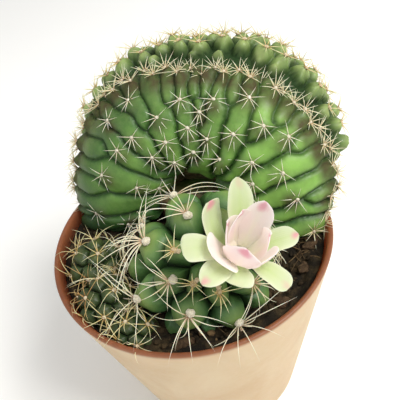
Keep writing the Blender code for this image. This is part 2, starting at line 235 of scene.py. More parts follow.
def over_the_rim(path):
    """lifts a spine that would cross the pot's wall over the rim, or slides it along the inside"""
    z = path[:, 2]
    r = np.hypot(path[:, 0], path[:, 1])
    hit = (r > pot_inner_r(np.minimum(z, POT_HEIGHT)) - 0.25) & (r < POT_TOP_R + 0.5) & (z < POT_HEIGHT + 0.45)
    if not hit.any():
        return path
    need = POT_HEIGHT + 0.45 - z[hit].min()
    if need > 3.2:
        return keep_in_pot(path, 0.25)
    s = np.linspace(0, 1, len(path))
    at = max(0.15, s[hit][np.argmin(z[hit])])
    path = path.copy()
    path[:, 2] += need * np.clip(s / at, 0, 1)
    return path


def spine(soup, root, direction, length, radius, bend=(0, 0, 0), tone=0.0, steps=6, sides=5, rng=None):
    s = np.linspace(0, 1, steps)[:, None]
    direction = unit(direction)
    bend = np.asarray(bend, float)
    path = over_the_rim(root + direction * length * s + bend * length * s ** 2)
    radii = radius * (1 - s[:, 0] ** 1.6) * 0.96 + radius * 0.05
    v, f, along = tube_along(path, radii, sides)
    soup.add(v, f, along=along, tone=tone)


def blob(soup, centre, axes, frame3, seed, rough=0.12, rows=12, cols=16, **attrs):
    """lumpy closed ellipsoid"""
    th = np.linspace(0.0, math.pi, rows + 2)[1:-1]
    ph = np.arange(cols) * 2 * math.pi / cols
    d = np.stack([np.sin(th)[:, None] * np.cos(ph)[None], np.sin(th)[:, None] * np.sin(ph)[None],
                  np.cos(th)[:, None] + 0 * ph[None]], -1)
    r = 1.0 + rough * fractal(d * 3.0 + seed * 7.31, 1.4, seed, 3)
    p = d * np.asarray(axes) * r[..., None]
    p = np.asarray(centre) + p @ np.asarray(frame3)
    v, f = capped(rows, cols, p)
    soup.add(v, f, **attrs)


# =====================================================================================================
# material helpers
# =====================================================================================================
class Shade:
    def __init__(self, name):
        self.mat = bpy.data.materials.new(name)
        self.mat.use_nodes = True
        self.nt = self.mat.node_tree
        self.bsdf = self.nt.nodes["Principled BSDF"]
        self.out = self.nt.nodes["Material Output"]
        self.coord = self.nt.nodes.new("ShaderNodeTexCoord").outputs["Object"]

    def put(self, socket, value):
        if isinstance(value, bpy.types.NodeSocket):
            self.nt.links.new(value, socket)
        else:
            socket.default_value = value

    def attr(self, name):
        n = self.nt.nodes.new("ShaderNodeAttribute")
        n.attribute_name = name
        return n.outputs["Fac"]

    def noise(self, scale, detail=3.0, rough=0.5, distort=0.0, vector=None):
        n = self.nt.nodes.new("ShaderNodeTexNoise")
        n.inputs["Scale"].default_value = scale
        n.inputs["Detail"].default_value = detail
        n.inputs["Roughness"].default_value = rough
        n.inputs["Distortion"].default_value = distort
        self.nt.links.new(vector if vector is not None else self.coord, n.inputs["Vector"])
        return n.outputs["Fac"]

    def voronoi(self, scale, feature="F1", vector=None, output="Distance"):
        n = self.nt.nodes.new("ShaderNodeTexVoronoi")
        n.feature = feature
        n.inputs["Scale"].default_value = scale
        self.nt.links.new(vector if vector is not None else self.coord, n.inputs["Vector"])
        return n.outputs[output]

    def wave(self, scale, distort=2.0, detail=2.0, vector=None, direction="X"):
        n = self.nt.nodes.new("ShaderNodeTexWave")
        n.bands_direction = direction
        n.inputs["Scale"].default_value = scale
        n.inputs["Distortion"].default_value = distort
        n.inputs["Detail"].default_value = detail
        self.nt.links.new(vector if vector is not None else self.coord, n.inputs["Vector"])
        return n.outputs["Fac"]

    def math(self, op, a, b=0.0, clamp=False):
        n = self.nt.nodes.new("ShaderNodeMath")
        n.operation = op
        n.use_clamp = clamp
        self.put(n.inputs[0], a)
        self.put(n.inputs[1], b)
        return n.outputs[0]

    def span(self, value, a, b, c=0.0, d=1.0):
        n = self.nt.nodes.new("ShaderNodeMapRange")
        n.clamp = True
        self.put(n.inputs["Value"], value)
        for key, v in (("From Min", a), ("From Max", b), ("To Min", c), ("To Max", d)):
            n.inputs[key].default_value = v
        return n.outputs["Result"]

    def mix(self, fac, a, b, blend="MIX"):
        n = self.nt.nodes.new("ShaderNodeMix")
        n.data_type = "RGBA"
        n.blend_type = blend
        self.put(n.inputs[0], fac)
        self.put(n.inputs[6], a)
        self.put(n.inputs[7], b)
        return n.outputs[2]

    def ramp(self, fac, stops):
        n = self.nt.nodes.new("ShaderNodeValToRGB")
        el = n.color_ramp.elements
        while len(el) < len(stops):
            el.new(0.5)
        for e, (pos, col) in zip(el, stops):
            e.position = pos
            e.color = lin(col)
        self.put(n.inputs["Fac"], fac)
        return n.outputs["Color"]

    def bump(self, height, strength, distance=0.001, normal=None):
        n = self.nt.nodes.new("ShaderNodeBump")
        n.inputs["Strength"].default_value = strength
        n.inputs["Distance"].default_value = distance
        self.put(n.inputs["Height"], height)
        if normal is not None:
            self.nt.links.new(normal, n.inputs["Normal"])
        return n.outputs["Normal"]

    def set(self, **kw):
        names = dict(color="Base Color", rough="Roughness", normal="Normal", sss="Subsurface Weight",
                     sss_scale="Subsurface Scale", sss_radius="Subsurface Radius", spec="Specular IOR Level",
                     sheen="Sheen Weight", sheen_rough="Sheen Roughness", coat="Coat Weight",
                     coat_rough="Coat Roughness", trans="Transmission Weight", metal="Metallic")
        for key, value in kw.items():
            self.put(self.bsdf.inputs[names[key]], value)

    def translucent(self, color, share):
        """mixes some light through a thin sheet"""
        t = self.nt.nodes.new("ShaderNodeBsdfTranslucent")
        self.put(t.inputs["Color"], color)
        m = self.nt.nodes.new("ShaderNodeMixShader")
        m.inputs[0].default_value = share
        self.nt.links.new(self.bsdf.outputs[0], m.inputs[1])
        self.nt.links.new(t.outputs[0], m.inputs[2])
        self.nt.links.new(m.outputs[0], self.out.inputs["Surface"])


def skin_material(name, light, mid, shade_blue, brown, pale, crease_shade, lime):
    """waxy cactus skin driven by the relief attributes"""
    m = Shade(name)
    broad = m.noise(120.0, 3.0, 0.55, 0.4)
    fine = m.noise(900.0, 3.0, 0.6)
    speck = m.voronoi(2600.0)
    col = m.mix(m.span(broad, 0.35, 0.68), lin(mid), lin(light))
    # painted shade: the low attribute mixes in the cooler, darker shade colour low down by the pot and over the fan's
    # left side
    col = m.mix(m.math("MULTIPLY", m.attr("low"), 0.85, True), col, lin(shade_blue))
    col = m.mix(m.span(fine, 0.40, 0.75, 0.0, 0.12), col, lin(pale))
    # painted light: the tip attribute pales the tops of knobs, rib crowns and tubercles; on the back knobs it is partly
    # paler young skin as well
    col = m.mix(m.math("MULTIPLY", m.attr("tip"), m.span(broad, 0.2, 0.7, 0.55, 0.95), True), col, lin(pale))
    # the lime attribute: yellow-green rib crowns of the skin's own, plus painted light over the fan's right side
    col = m.mix(m.math("MULTIPLY", m.attr("lime"), m.span(m.noise(260.0, 3.0), 0.25, 0.65, 0.45, 0.95), True), col, lin(lime))
    # the tint attribute browns the skin below the areoles, partly purple-brown skin and partly painted shadow under the
    # spine clusters, and along the growing line
    tinted = m.math("MULTIPLY", m.attr("tint"), m.span(m.noise(420.0, 2.0), 0.25, 0.7, 0.45, 1.0), True)
    col = m.mix(tinted, col, lin(brown))
    # painted shade: the groove attribute darkens creases, the trough, the gaps between knobs and the fan's shaded left
    # foot by the rim
    col = m.mix(m.math("MULTIPLY", m.attr("groove"), 0.9, True), col, lin(crease_shade))
    corky = m.ramp(m.noise(520.0, 4.0, 0.65), [(0.3, (58, 44, 30)), (0.5, (104, 84, 58)), (0.7, (142, 118, 84))])
    col = m.mix(m.math("MULTIPLY", m.attr("cork"), 0.92, True), col, corky)
    # pin-point stomata
    col = m.mix(m.span(speck, 0.0, 0.28, 0.10, 0.0), col, lin(pale))
    height = m.math("ADD", m.math("MULTIPLY", m.noise(1500.0, 3.0, 0.6), 0.6), m.math("MULTIPLY", speck, 0.4))
    matt = m.math("MAXIMUM", m.attr("groove"), m.math("MAXIMUM", m.attr("cork"), m.attr("tint")))
    rough = m.math("MAXIMUM", m.span(fine, 0.3, 0.75, 0.40, 0.58), m.math("MULTIPLY", matt, 0.92))
    m.set(color=col, rough=rough, spec=0.34, sss=0.14, sss_scale=0.0012,
          sss_radius=(0.5, 1.0, 0.25), coat=0.03, coat_rough=0.35,
          normal=m.bump(height, 0.22, 0.0003, m.bump(broad, 0.12, 0.001)))
    return m.mat


def spine_material():
    m = Shade("spine_shade")
    along, tone = m.attr("along"), m.attr("tone")
    cream = m.ramp(along, [(0.0, (206, 172, 150)), (0.18, (238, 230, 210)), (0.75, (250, 247, 232)), (1.0, (240, 228, 210))])
    gold = m.ramp(along, [(0.0, (184, 140, 78)), (0.18, (224, 202, 136)), (0.5, (242, 234, 184)), (1.0, (240, 232, 192))])
    brown = m.ramp(along, [(0.0, (110, 72, 34)), (0.3, (160, 116, 58)), (0.8, (204, 166, 100)), (1.0, (206, 176, 120))])
    col = m.mix(m.span(tone, 0.0, 1.0), cream, gold)
    col = m.mix(m.span(tone, 1.0, 2.0), col, brown)
    col = m.mix(m.span(m.noise(1800.0, 2.0), 0.35, 0.7, 0.0, 0.12), col, lin((196, 164, 112)))
    m.set(color=col, rough=m.span(m.noise(900.0), 0.3, 0.7, 0.35, 0.55), spec=0.45, sss=0.12, sss_scale=0.0006,
          normal=m.bump(m.noise(4000.0, 2.0), 0.15, 0.0001))
    m.translucent(col, 0.25)
    return m.mat


def wool_material():
    m = Shade("areole_wool_shade")
    n = m.noise(2600.0, 4.0, 0.7, 0.8)
    col = m.ramp(n, [(0.25, (170, 150, 120)), (0.45, (222, 214, 190)), (0.7, (246, 242, 226))])
    col = m.mix(m.attr("tone"), col, m.ramp(n, [(0.25, (140, 96, 50)), (0.5, (204, 172, 118)), (0.75, (232, 214, 170))]))
    m.set(color=col, rough=0.95, spec=0.1, sheen=0.5, sheen_rough=0.4,
          normal=m.bump(m.math("ADD", n, m.noise(7000.0, 3.0)), 0.8, 0.0004))
    return m.mat


def petal_material(name, body, rib, tip, edge, tip_from, through, rib_to, glow):
    m = Shade(name)
    along, across = m.attr("along"), m.attr("across")
    veins = m.math("ABSOLUTE", m.math("SINE", m.math("MULTIPLY", across, 19.0)))
    col = m.mix(m.span(along, 0.0, rib_to), lin(rib), lin(body))
    col = m.mix(m.span(m.math("ABSOLUTE", across), 0.55, 1.0, 0.0, 0.75), col, lin(edge))
    midrib = m.math("MULTIPLY", m.span(m.math("ABSOLUTE", across), 0.0, 0.28, 0.55, 0.0), m.span(along, 0.4, 0.95, 1.0, 0.2))
    col = m.mix(midrib, col, lin(rib))
    col = m.mix(m.span(veins, 0.0, 0.5, 0.10, 0.0), col, lin(rib))
    # pink spot at the middle of the tip
    da = m.math("DIVIDE", m.math("SUBTRACT", along, tip_from), 0.13)
    dx = m.math("DIVIDE", across, 0.50)
    spot = m.math("SQRT", m.math("ADD", m.math("MULTIPLY", da, da), m.math("MULTIPLY", dx, dx)))
    spot = m.math("ADD", spot, m.span(m.noise(500.0, 2.0, 0.5, 1.0), 0.25, 0.75, -0.25, 0.25))
    blush = m.math("MULTIPLY", m.span(spot, 0.45, 1.25, 1.0, 0.0), m.attr("blush"), True)
    col = m.mix(blush, col, lin(tip))
    height = m.math("ADD", m.math("MULTIPLY", veins, 0.5), m.math("MULTIPLY", m.noise(1500.0, 3.0), 0.5))
    m.set(color=col, rough=m.span(m.noise(700.0), 0.3, 0.7, 0.42, 0.6), spec=0.35, sss=0.25, sss_scale=0.001,
          sss_radius=(1.0, 0.9, 0.6), sheen=0.15, normal=m.bump(height, 0.35, 0.00012))
    m.translucent(m.mix(0.62, col, lin(glow)), through)
    return m.mat


def soil_material():
    m = Shade("potting_mix_shade")
    n = m.noise(260.0, 5.0, 0.7)
    col = m.ramp(n, [(0.30, (12, 9, 5)), (0.48, (30, 24, 15)), (0.62, (58, 47, 30)), (0.78, (104, 86, 58))])
    col = m.mix(m.span(m.attr("tone"), 0.0, 1.0, 0.0, 0.8), col, m.ramp(m.noise(700.0, 3.0), [(0.3, (74, 54, 34)), (0.7, (146, 120, 84))]))
    m.set(color=col, rough=m.span(m.noise(500.0), 0.3, 0.7, 0.75, 0.97), spec=0.2,
          normal=m.bump(m.noise(1200.0, 5.0, 0.75), 0.9, 0.0006))
    return m.mat


def chip_material():
    m = Shade("bark_chip_shade")
    grain = m.noise(420.0, 5.0, 0.7, 2.5)
    col = m.ramp(grain, [(0.3, (34, 25, 17)), (0.5, (62, 47, 32)), (0.7, (100, 80, 57))])
    col = m.mix(m.span(m.noise(300.0, 4.0), 0.35, 0.7, 0.0, 0.6), col, lin((58, 42, 28)))
    m.set(color=col, rough=m.span(grain, 0.0, 1.0, 0.75, 0.95), spec=0.2,
          normal=m.bump(m.math("ADD", grain, m.noise(2000.0, 3.0)), 0.7, 0.0004))
    return m.mat


def pot_material():
    m = Shade("pot_plastic_shade")
    geo = m.nt.nodes.new("ShaderNodeSeparateXYZ")
    m.nt.links.new(m.coord, geo.inputs[0])
    z = geo.outputs["Z"]
    blotch = m.noise(60.0, 4.0, 0.6, 0.6)
    scuff = m.noise(900.0, 4.0, 0.7)
    inner = m.attr("inner")
    # painted light and shade: the outer wall takes a pale, lit colour of the plastic, while the rim, the top of the
    # outer lip and the inner wall take a darker brown, shaded copy of it
    wall = m.mix(m.span(blotch, 0.3, 0.7), lin((226, 202, 162)), lin((212, 180, 136)))
    wall = m.mix(m.span(z, 0.0535, 0.0548, 0.0, 0.85), wall, lin((150, 98, 66)))
    rim = m.mix(m.span(blotch, 0.3, 0.7), lin((140, 88, 58)), lin((112, 67, 42)))
    # painted shade: the inner wall darkens just below the rim; scuffed patches darken it at random too
    inner_shade_and_scuff = m.math("ADD", m.span(z, 0.0525, 0.0546, 1.0, 0.0), m.span(scuff, 0.45, 0.7, 0.0, 0.25), True)
    rim = m.mix(inner_shade_and_scuff, rim, lin((58, 38, 25)))
    col = m.mix(inner, wall, rim)
    # faint dust and water marks near the mix
    col = m.mix(m.math("MULTIPLY", m.span(scuff, 0.55, 0.75, 0.0, 0.35), inner), col, lin((120, 92, 66)))
    rings = m.math("SINE", m.math("MULTIPLY", z, 9000.0))
    height = m.math("ADD", m.math("MULTIPLY", rings, 0.25), scuff)
    m.set(color=col, rough=m.span(scuff, 0.3, 0.75, 0.34, 0.5), spec=0.45, sss=0.2, sss_scale=0.002,
          sss_radius=(1.0, 0.45, 0.25), normal=m.bump(height, 0.10, 0.0002))
    m.translucent(lin((226, 150, 104)), 0.22)
    return m.mat


# =====================================================================================================
# relief: tubercles as soft cells round their areoles
# =====================================================================================================
def relief(points, sites, narrow, wide, along_weight, chin_at=2.2, chin_w=1.9, pair_floor=0.3, warp=0.0):
    """for each surface point: groove, pillow, chin, dimple and tint strengths, and the nearest site"""
    A, L, G, N = sites["p"], sites["lat"], sites["grow"], sites["nor"]
    M = len(A)
    D = A[None] - A[:, None]
    lat = np.abs(np.einsum("ijk,ik->ij", D, L))
    alo = np.abs(np.einsum("ijk,ik->ij", D, G))
    q = lat / (lat + alo + 1e-6)
    q = 0.5 * (q + q.T)
    pair = pair_floor + (1 - pair_floor) * smoothstep(0.20, 0.55, q)
    n = len(points)
    if warp:
        points = points + warp * np.stack([fractal(points, 5.5, 301 + 40 * k, 2) for k in range(3)], -1)
    out = {k: np.zeros(n) for k in ("groove", "pillow", "chin", "dimple", "tint")}
    out["dist"] = np.zeros(n)
    step = 3000
    size = sites.get("size", np.ones(M))
    for a in range(0, n, step):
        P = points[a:a + step]
        V = P[:, None] - A[None]
        x = np.einsum("kmi,mi->km", V, L)
        y = np.einsum("kmi,mi->km", V, G)
        z = np.einsum("kmi,mi->km", V, N)
        d = np.sqrt(x * x + (along_weight * y) ** 2 + (0.9 * z) ** 2) / size
        i1 = np.argmin(d, axis=1)
        r = np.arange(len(P))
        E = d - d[r, i1][:, None]
        pr = pair[i1].copy()
        pr[r, i1] = 0.0
        out["groove"][a:a + step] = np.max(pr * np.exp(-E / narrow), axis=1)
        out["pillow"][a:a + step] = 1.0 - np.max(pr * np.exp(-E / wide), axis=1)
        out["chin"][a:a + step] = np.max(np.exp(-((x / chin_w) ** 2 + ((y + chin_at) / chin_w) ** 2 + (z / 4.0) ** 2)), axis=1)
        out["dimple"][a:a + step] = np.max(np.exp(-((x * x + y * y + z * z * 0.3) / 0.75)), axis=1)
        out["tint"][a:a + step] = np.max(np.exp(-((x / (chin_w * 1.0)) ** 2 + ((y + chin_at * 0.75) / (chin_w * 0.95)) ** 2 + (z / 4.0) ** 2)), axis=1)
        out["dist"][a:a + step] = np.sqrt(np.min(x * x + y * y + z * z, axis=1))
    return out


def grid_normals(P, wrap_cols=True):
    """unit normals of a (rows, cols, 3) grid"""
    du = np.gradient(P, axis=0)
    if wrap_cols:
        dv = np.roll(P, -1, axis=1) - np.roll(P, 1, axis=1)
    else:
        dv = np.gradient(P, axis=1)
    n = np.cross(du, dv)
    return unit(n)


# =====================================================================================================
# crested fan
# =====================================================================================================
def fan_axes():
    p, t, n = (math.radians(v) for v in (FAN_TURN, FAN_LEAN, FAN_NORMAL_TILT))
    across = np.array([math.cos(p), math.sin(p), 0.0])
    back = np.array([-math.sin(p), math.cos(p), 0.0])
    up = np.array([0.0, 0.0, 1.0])
    return across, math.cos(t) * up + math.sin(t) * back, -math.cos(n) * back + math.sin(n) * up


def fan_section(s):
    m = len(FAN_SECTION)
    f = np.floor(s)
    i = f.astype(int) % m
    u = (s - f)[..., None]
    a, b, c, d = FAN_SECTION[(i - 1) % m], FAN_SECTION[i], FAN_SECTION[(i + 1) % m], FAN_SECTION[(i + 2) % m]
    return 0.5 * (2 * b + (c - a) * u + (2 * a - 5 * b + 4 * c - d) * u ** 2 + (3 * b - a - 3 * c + d) * u ** 3)


def fan_radius(t):
    r = (np.abs(np.sin(t) / FAN_HALF_WIDTH) ** FAN_SQUARENESS
         + np.abs(np.cos(t) / FAN_HEIGHT) ** FAN_SQUARENESS) ** (-1.0 / FAN_SQUARENESS)
    return r * (1.0 + sum(g * np.exp(-((np.degrees(t) - c) / w) ** 2) for c, w, g in FAN_GROWTH))


def fan_point(t, s):
    """point of the fan's smooth surface at sector angle t (radians) and section coordinate s"""
    t, s = np.broadcast_arrays(np.asarray(t, float), np.asarray(s, float))
    across, up, normal = fan_axes()
    reach, end = math.radians(FAN_REACH), math.radians(FAN_END_ROUND)
    R = fan_radius(t)
    sec = fan_section(s)
    slim = 1.0 - 0.22 * np.clip((np.abs(t) - math.radians(35)) / math.radians(75), 0.0, 1.0)
    rho = sec[..., 0] * R
    w = np.where(sec[..., 1] < 0, sec[..., 1] * (1.0 + FAN_SKEW * np.sin(t)), sec[..., 1]) * slim
    x = np.clip((np.abs(t) - (reach - end)) / end, 0.0, 1.0)
    k = np.sqrt(np.maximum(0.0, 1.0 - x * x))
    c0, c1 = 0.52 * R, -4.5
    rho, w = c0 + (rho - c0) * k, c1 + (w - c1) * k
    d = np.sin(t)[..., None] * across + np.cos(t)[..., None] * up
    return keep_in_pot(FAN_HUB + rho[..., None] * d + w[..., None] * normal)


# areoles on the fan's front: sector angle in degrees, section coordinate
FAN_FRONT = (
    (0, 4.55), (14, 4.6), (27, 5.0), (-11, 4.0), (4, 3.65), (9, 4.1), (27, 3.7), (37, 4.35), (48, 4.6),
    (-9, 3.35), (15, 3.45), (8, 3.05), (-22, 3.0), (-27, 3.65), (-39, 3.6), (-24, 4.9), (-58, 3.6), (-51, 2.6),
    (26, 3.0), (43, 3.4), (58, 3.75), (74, 3.85), (-86, 3.75), (-36, 4.6), (-93, 2.75), (-38, 2.1), (-7, 2.75),
    (98, 3.9), (53, 3.0), (100, 4.9),
    # where the flower and the front head hide the fan
    (70, 2.8), (82, 3.0), (94, 2.8))


# young areoles low on the right edge, where the growing line turns to the front
FAN_LOW_EDGE = ((81, 5.25), (87.5, 5.15), (92.5, 4.95), (94, 4.35))

# ribs on the fan's front, from the growing line inwards: sector angle in degrees, section coordinate
FAN_RIB_LINES = (
    ((-1, 6.0), (-1, 5.5), (0, 4.9), (2, 4.4), (4, 3.9), (6, 3.4), (8, 2.9)),
    ((-15, 6.0), (-14, 5.2), (-12, 4.4), (-10, 3.8), (-9, 3.4), (-6, 2.7)),
    ((-26, 6.1), (-24, 5.3), (-21, 4.6), (-19, 4.2)),
    ((-39, 5.7), (-34, 4.7), (-30, 4.2), (-27, 3.6), (-25, 3.2), (-23, 2.5)),
    ((-50, 5.8), (-44, 4.8), (-40, 4.1), (-37, 3.5), (-31, 2.9), (-26, 2.4)),
    ((-60, 5.8), (-54, 4.9), (-50, 4.2)),
    ((-69, 5.9), (-64, 5.0), (-59, 4.1), (-57, 3.6), (-53, 3.1), (-47, 2.5), (-38, 2.0)),
    ((-77, 5.8), (-72, 5.0), (-70, 3.9)),
    ((-34, 6.0), (-31, 5.5), (-29, 5.1)), ((-44, 6.0), (-41, 5.6)),
    ((-86, 5.9), (-84, 4.4), (-82, 3.7), (-79, 3.1), (-75, 2.5), (-69, 2.0)),
    ((-91, 5.6), (-90, 4.7), (-89, 4.2)),
    ((-98, 5.8), (-97, 4.6), (-96, 3.6), (-94, 2.9), (-86, 2.1)),
    ((-107, 5.4), (-106, 4.4), (-104, 3.4), (-100, 2.4)),
    ((-7, 5.9), (-6, 5.2), (-5, 4.8)), ((4, 5.9), (5, 5.2), (6, 4.7)), ((10, 5.9), (10, 5.2), (11, 4.8)),
    ((8, 4.4), (8, 4.2), (10, 3.9)),
    ((15, 6.0), (15, 5.2), (14, 4.5), (14, 3.8), (15, 3.0), (16, 2.5)),
    ((20, 5.9), (20, 5.3), (21, 5.0)),
    ((25, 6.0), (26, 5.2), (27, 4.6), (27, 4.0), (27, 3.4), (28, 2.7)),
    ((32, 6.0), (34, 5.4), (35, 5.0), (36, 4.5), (38, 3.9)),
    ((43, 6.0), (42, 5.4), (42, 5.0)),
    ((49, 6.0), (48, 5.1), (48, 4.6), (45, 4.0), (42, 3.4), (40, 2.6)),
    ((57, 5.9), (55, 5.1), (54, 4.7)),
    ((63, 5.9), (61, 4.8), (59, 4.2), (57, 3.7), (54, 3.0), (50, 2.3)),
    ((74, 5.9), (72, 4.6), (72, 4.0), (71, 3.4), (68, 2.4)),
    ((80, 5.8), (78, 4.9), (79, 4.3)),
    ((86, 5.8), (83, 4.3), (82, 3.5), (80, 2.4)),
    ((93, 5.8), (91, 4.6), (93, 3.9), (96, 3.2), (94, 2.4)),
    ((104, 5.6), (104, 4.6), (104, 3.8), (105, 2.8)))


def fan_lines():
    """sample points along every rib line"""
    pts, ids = [], []
    for k, line in enumerate(FAN_RIB_LINES):
        line = np.array(line, float)
        seg = np.concatenate([[0], np.cumsum(np.hypot(np.diff(line[:, 0]) * 0.5, np.diff(line[:, 1]) * 5.0))])
        q = np.arange(0.0, seg[-1] + 1e-6, 1.1)
        tt = np.radians(np.interp(q, seg, line[:, 0]))
        s2 = np.interp(q, seg, line[:, 1])
        pts.append(fan_point(tt, s2))
        ids.append(np.full(len(q), k))
    return np.concatenate(pts), np.concatenate(ids)


def knobs(points, p, lat, grow, nor, size, warp):
    """overlapping rounded knobs: height share of the tallest one over every point, and the nearest knob's middle"""
    points = points + warp * np.stack([fractal(points, 3.0, 501 + 40 * k, 3) for k in range(3)], -1)
    best, near = np.zeros(len(points)), np.zeros(len(points))
    for a in range(0, len(points), 2500):
        v = points[a:a + 2500][:, None, :] - p[None]
        x = np.einsum("ijk,jk->ij", v, lat) / (2.45 * size)
        y = np.einsum("ijk,jk->ij", v, grow) / (2.9 * size)
        z = np.einsum("ijk,jk->ij", v, nor) / 3.6
        h = size * np.clip(1 - (x * x + y * y + z * z), 0, None) ** 0.62
        best[a:a + 2500] = h.max(1)
        near[a:a + 2500] = np.sqrt((v ** 2).sum(-1).min(1))
    return best, near


def line_relief(points, pts, ids, narrow, wide, warp):
    """groove and pillow strengths from the nearest and second nearest rib"""
    points = points + warp * np.stack([fractal(points, 5.0, 301 + 40 * k, 2) for k in range(3)], -1)
    starts = np.searchsorted(ids, np.arange(ids[-1] + 1))
    groove, pillow = np.zeros(len(points)), np.zeros(len(points))
    for a in range(0, len(points), 3000):
        P = points[a:a + 3000]
        d2 = (P ** 2).sum(1)[:, None] + (pts ** 2).sum(1)[None] - 2 * P @ pts.T
        d = np.minimum.reduceat(np.sqrt(np.maximum(d2, 0)), starts, axis=1)
        d = np.partition(d, 1, axis=1)
        E = d[:, 1] - d[:, 0]
        groove[a:a + 3000] = np.exp(-E / narrow)
        pillow[a:a + 3000] = 1 - np.exp(-E / wide)
    return groove, pillow


def fan_sites():
    t, s, kind = [], [], []
    for a, b in FAN_FRONT:
        t.append(a), s.append(b), kind.append(0)
    for a, b in FAN_LOW_EDGE:
        t.append(a), s.append(b), kind.append(1)
    # growing line: close-set areoles
    a, k = -103.0, 0
    while a < 105.0:
        t.append(a), s.append(5.78 if k % 2 else 6.02), kind.append(1)
        r = float(fan_radius(math.radians(a)))
        a += math.degrees(2.7 / r) * (1.0 + 0.18 * math.sin(2.3 * k))
        k += 1
    # back: a broken row of small knobs in the trench, then staggered rows of full ones
    for row, sec in enumerate((6.62, 7.12, 7.75, 8.55, 9.35, 10.05, 10.65, 11.2, 11.7, 12.15, 12.6, 13.05, 13.45)):
        rr = float(fan_section(np.array([sec]))[0, 0])
        a, k = -103.0 + (4.0 if row % 2 else 0.0) / max(rr, 0.3), 0
        while a < 104.0:
            if row != 1 or math.sin(2.1 * k) > -0.35:
                t.append(a), s.append(sec + 0.14 * math.sin(1.7 * k + row)), kind.append(2 if row > 1 else 3)
            r = max(6.0, float(fan_radius(math.radians(a))) * rr)
            a += math.degrees((2.9 if row == 0 else 4.9) / r) * (1.0 + 0.16 * math.sin(3.1 * k + 2 * row))
            k += 1
    return np.radians(np.array(t, float)), np.array(s, float), np.array(kind)


def surface_frame(fn, t, s, eps=(0.01, 0.03)):
    p = fn(t, s)
    dt = fn(t + eps[0], s) - fn(t - eps[0], s)
    ds = fn(t, s + eps[1]) - fn(t, s - eps[1])
    nor = unit(np.cross(dt, ds))
    grow = unit(ds)
    lat = unit(np.cross(grow, nor))
    return p, lat, grow, nor


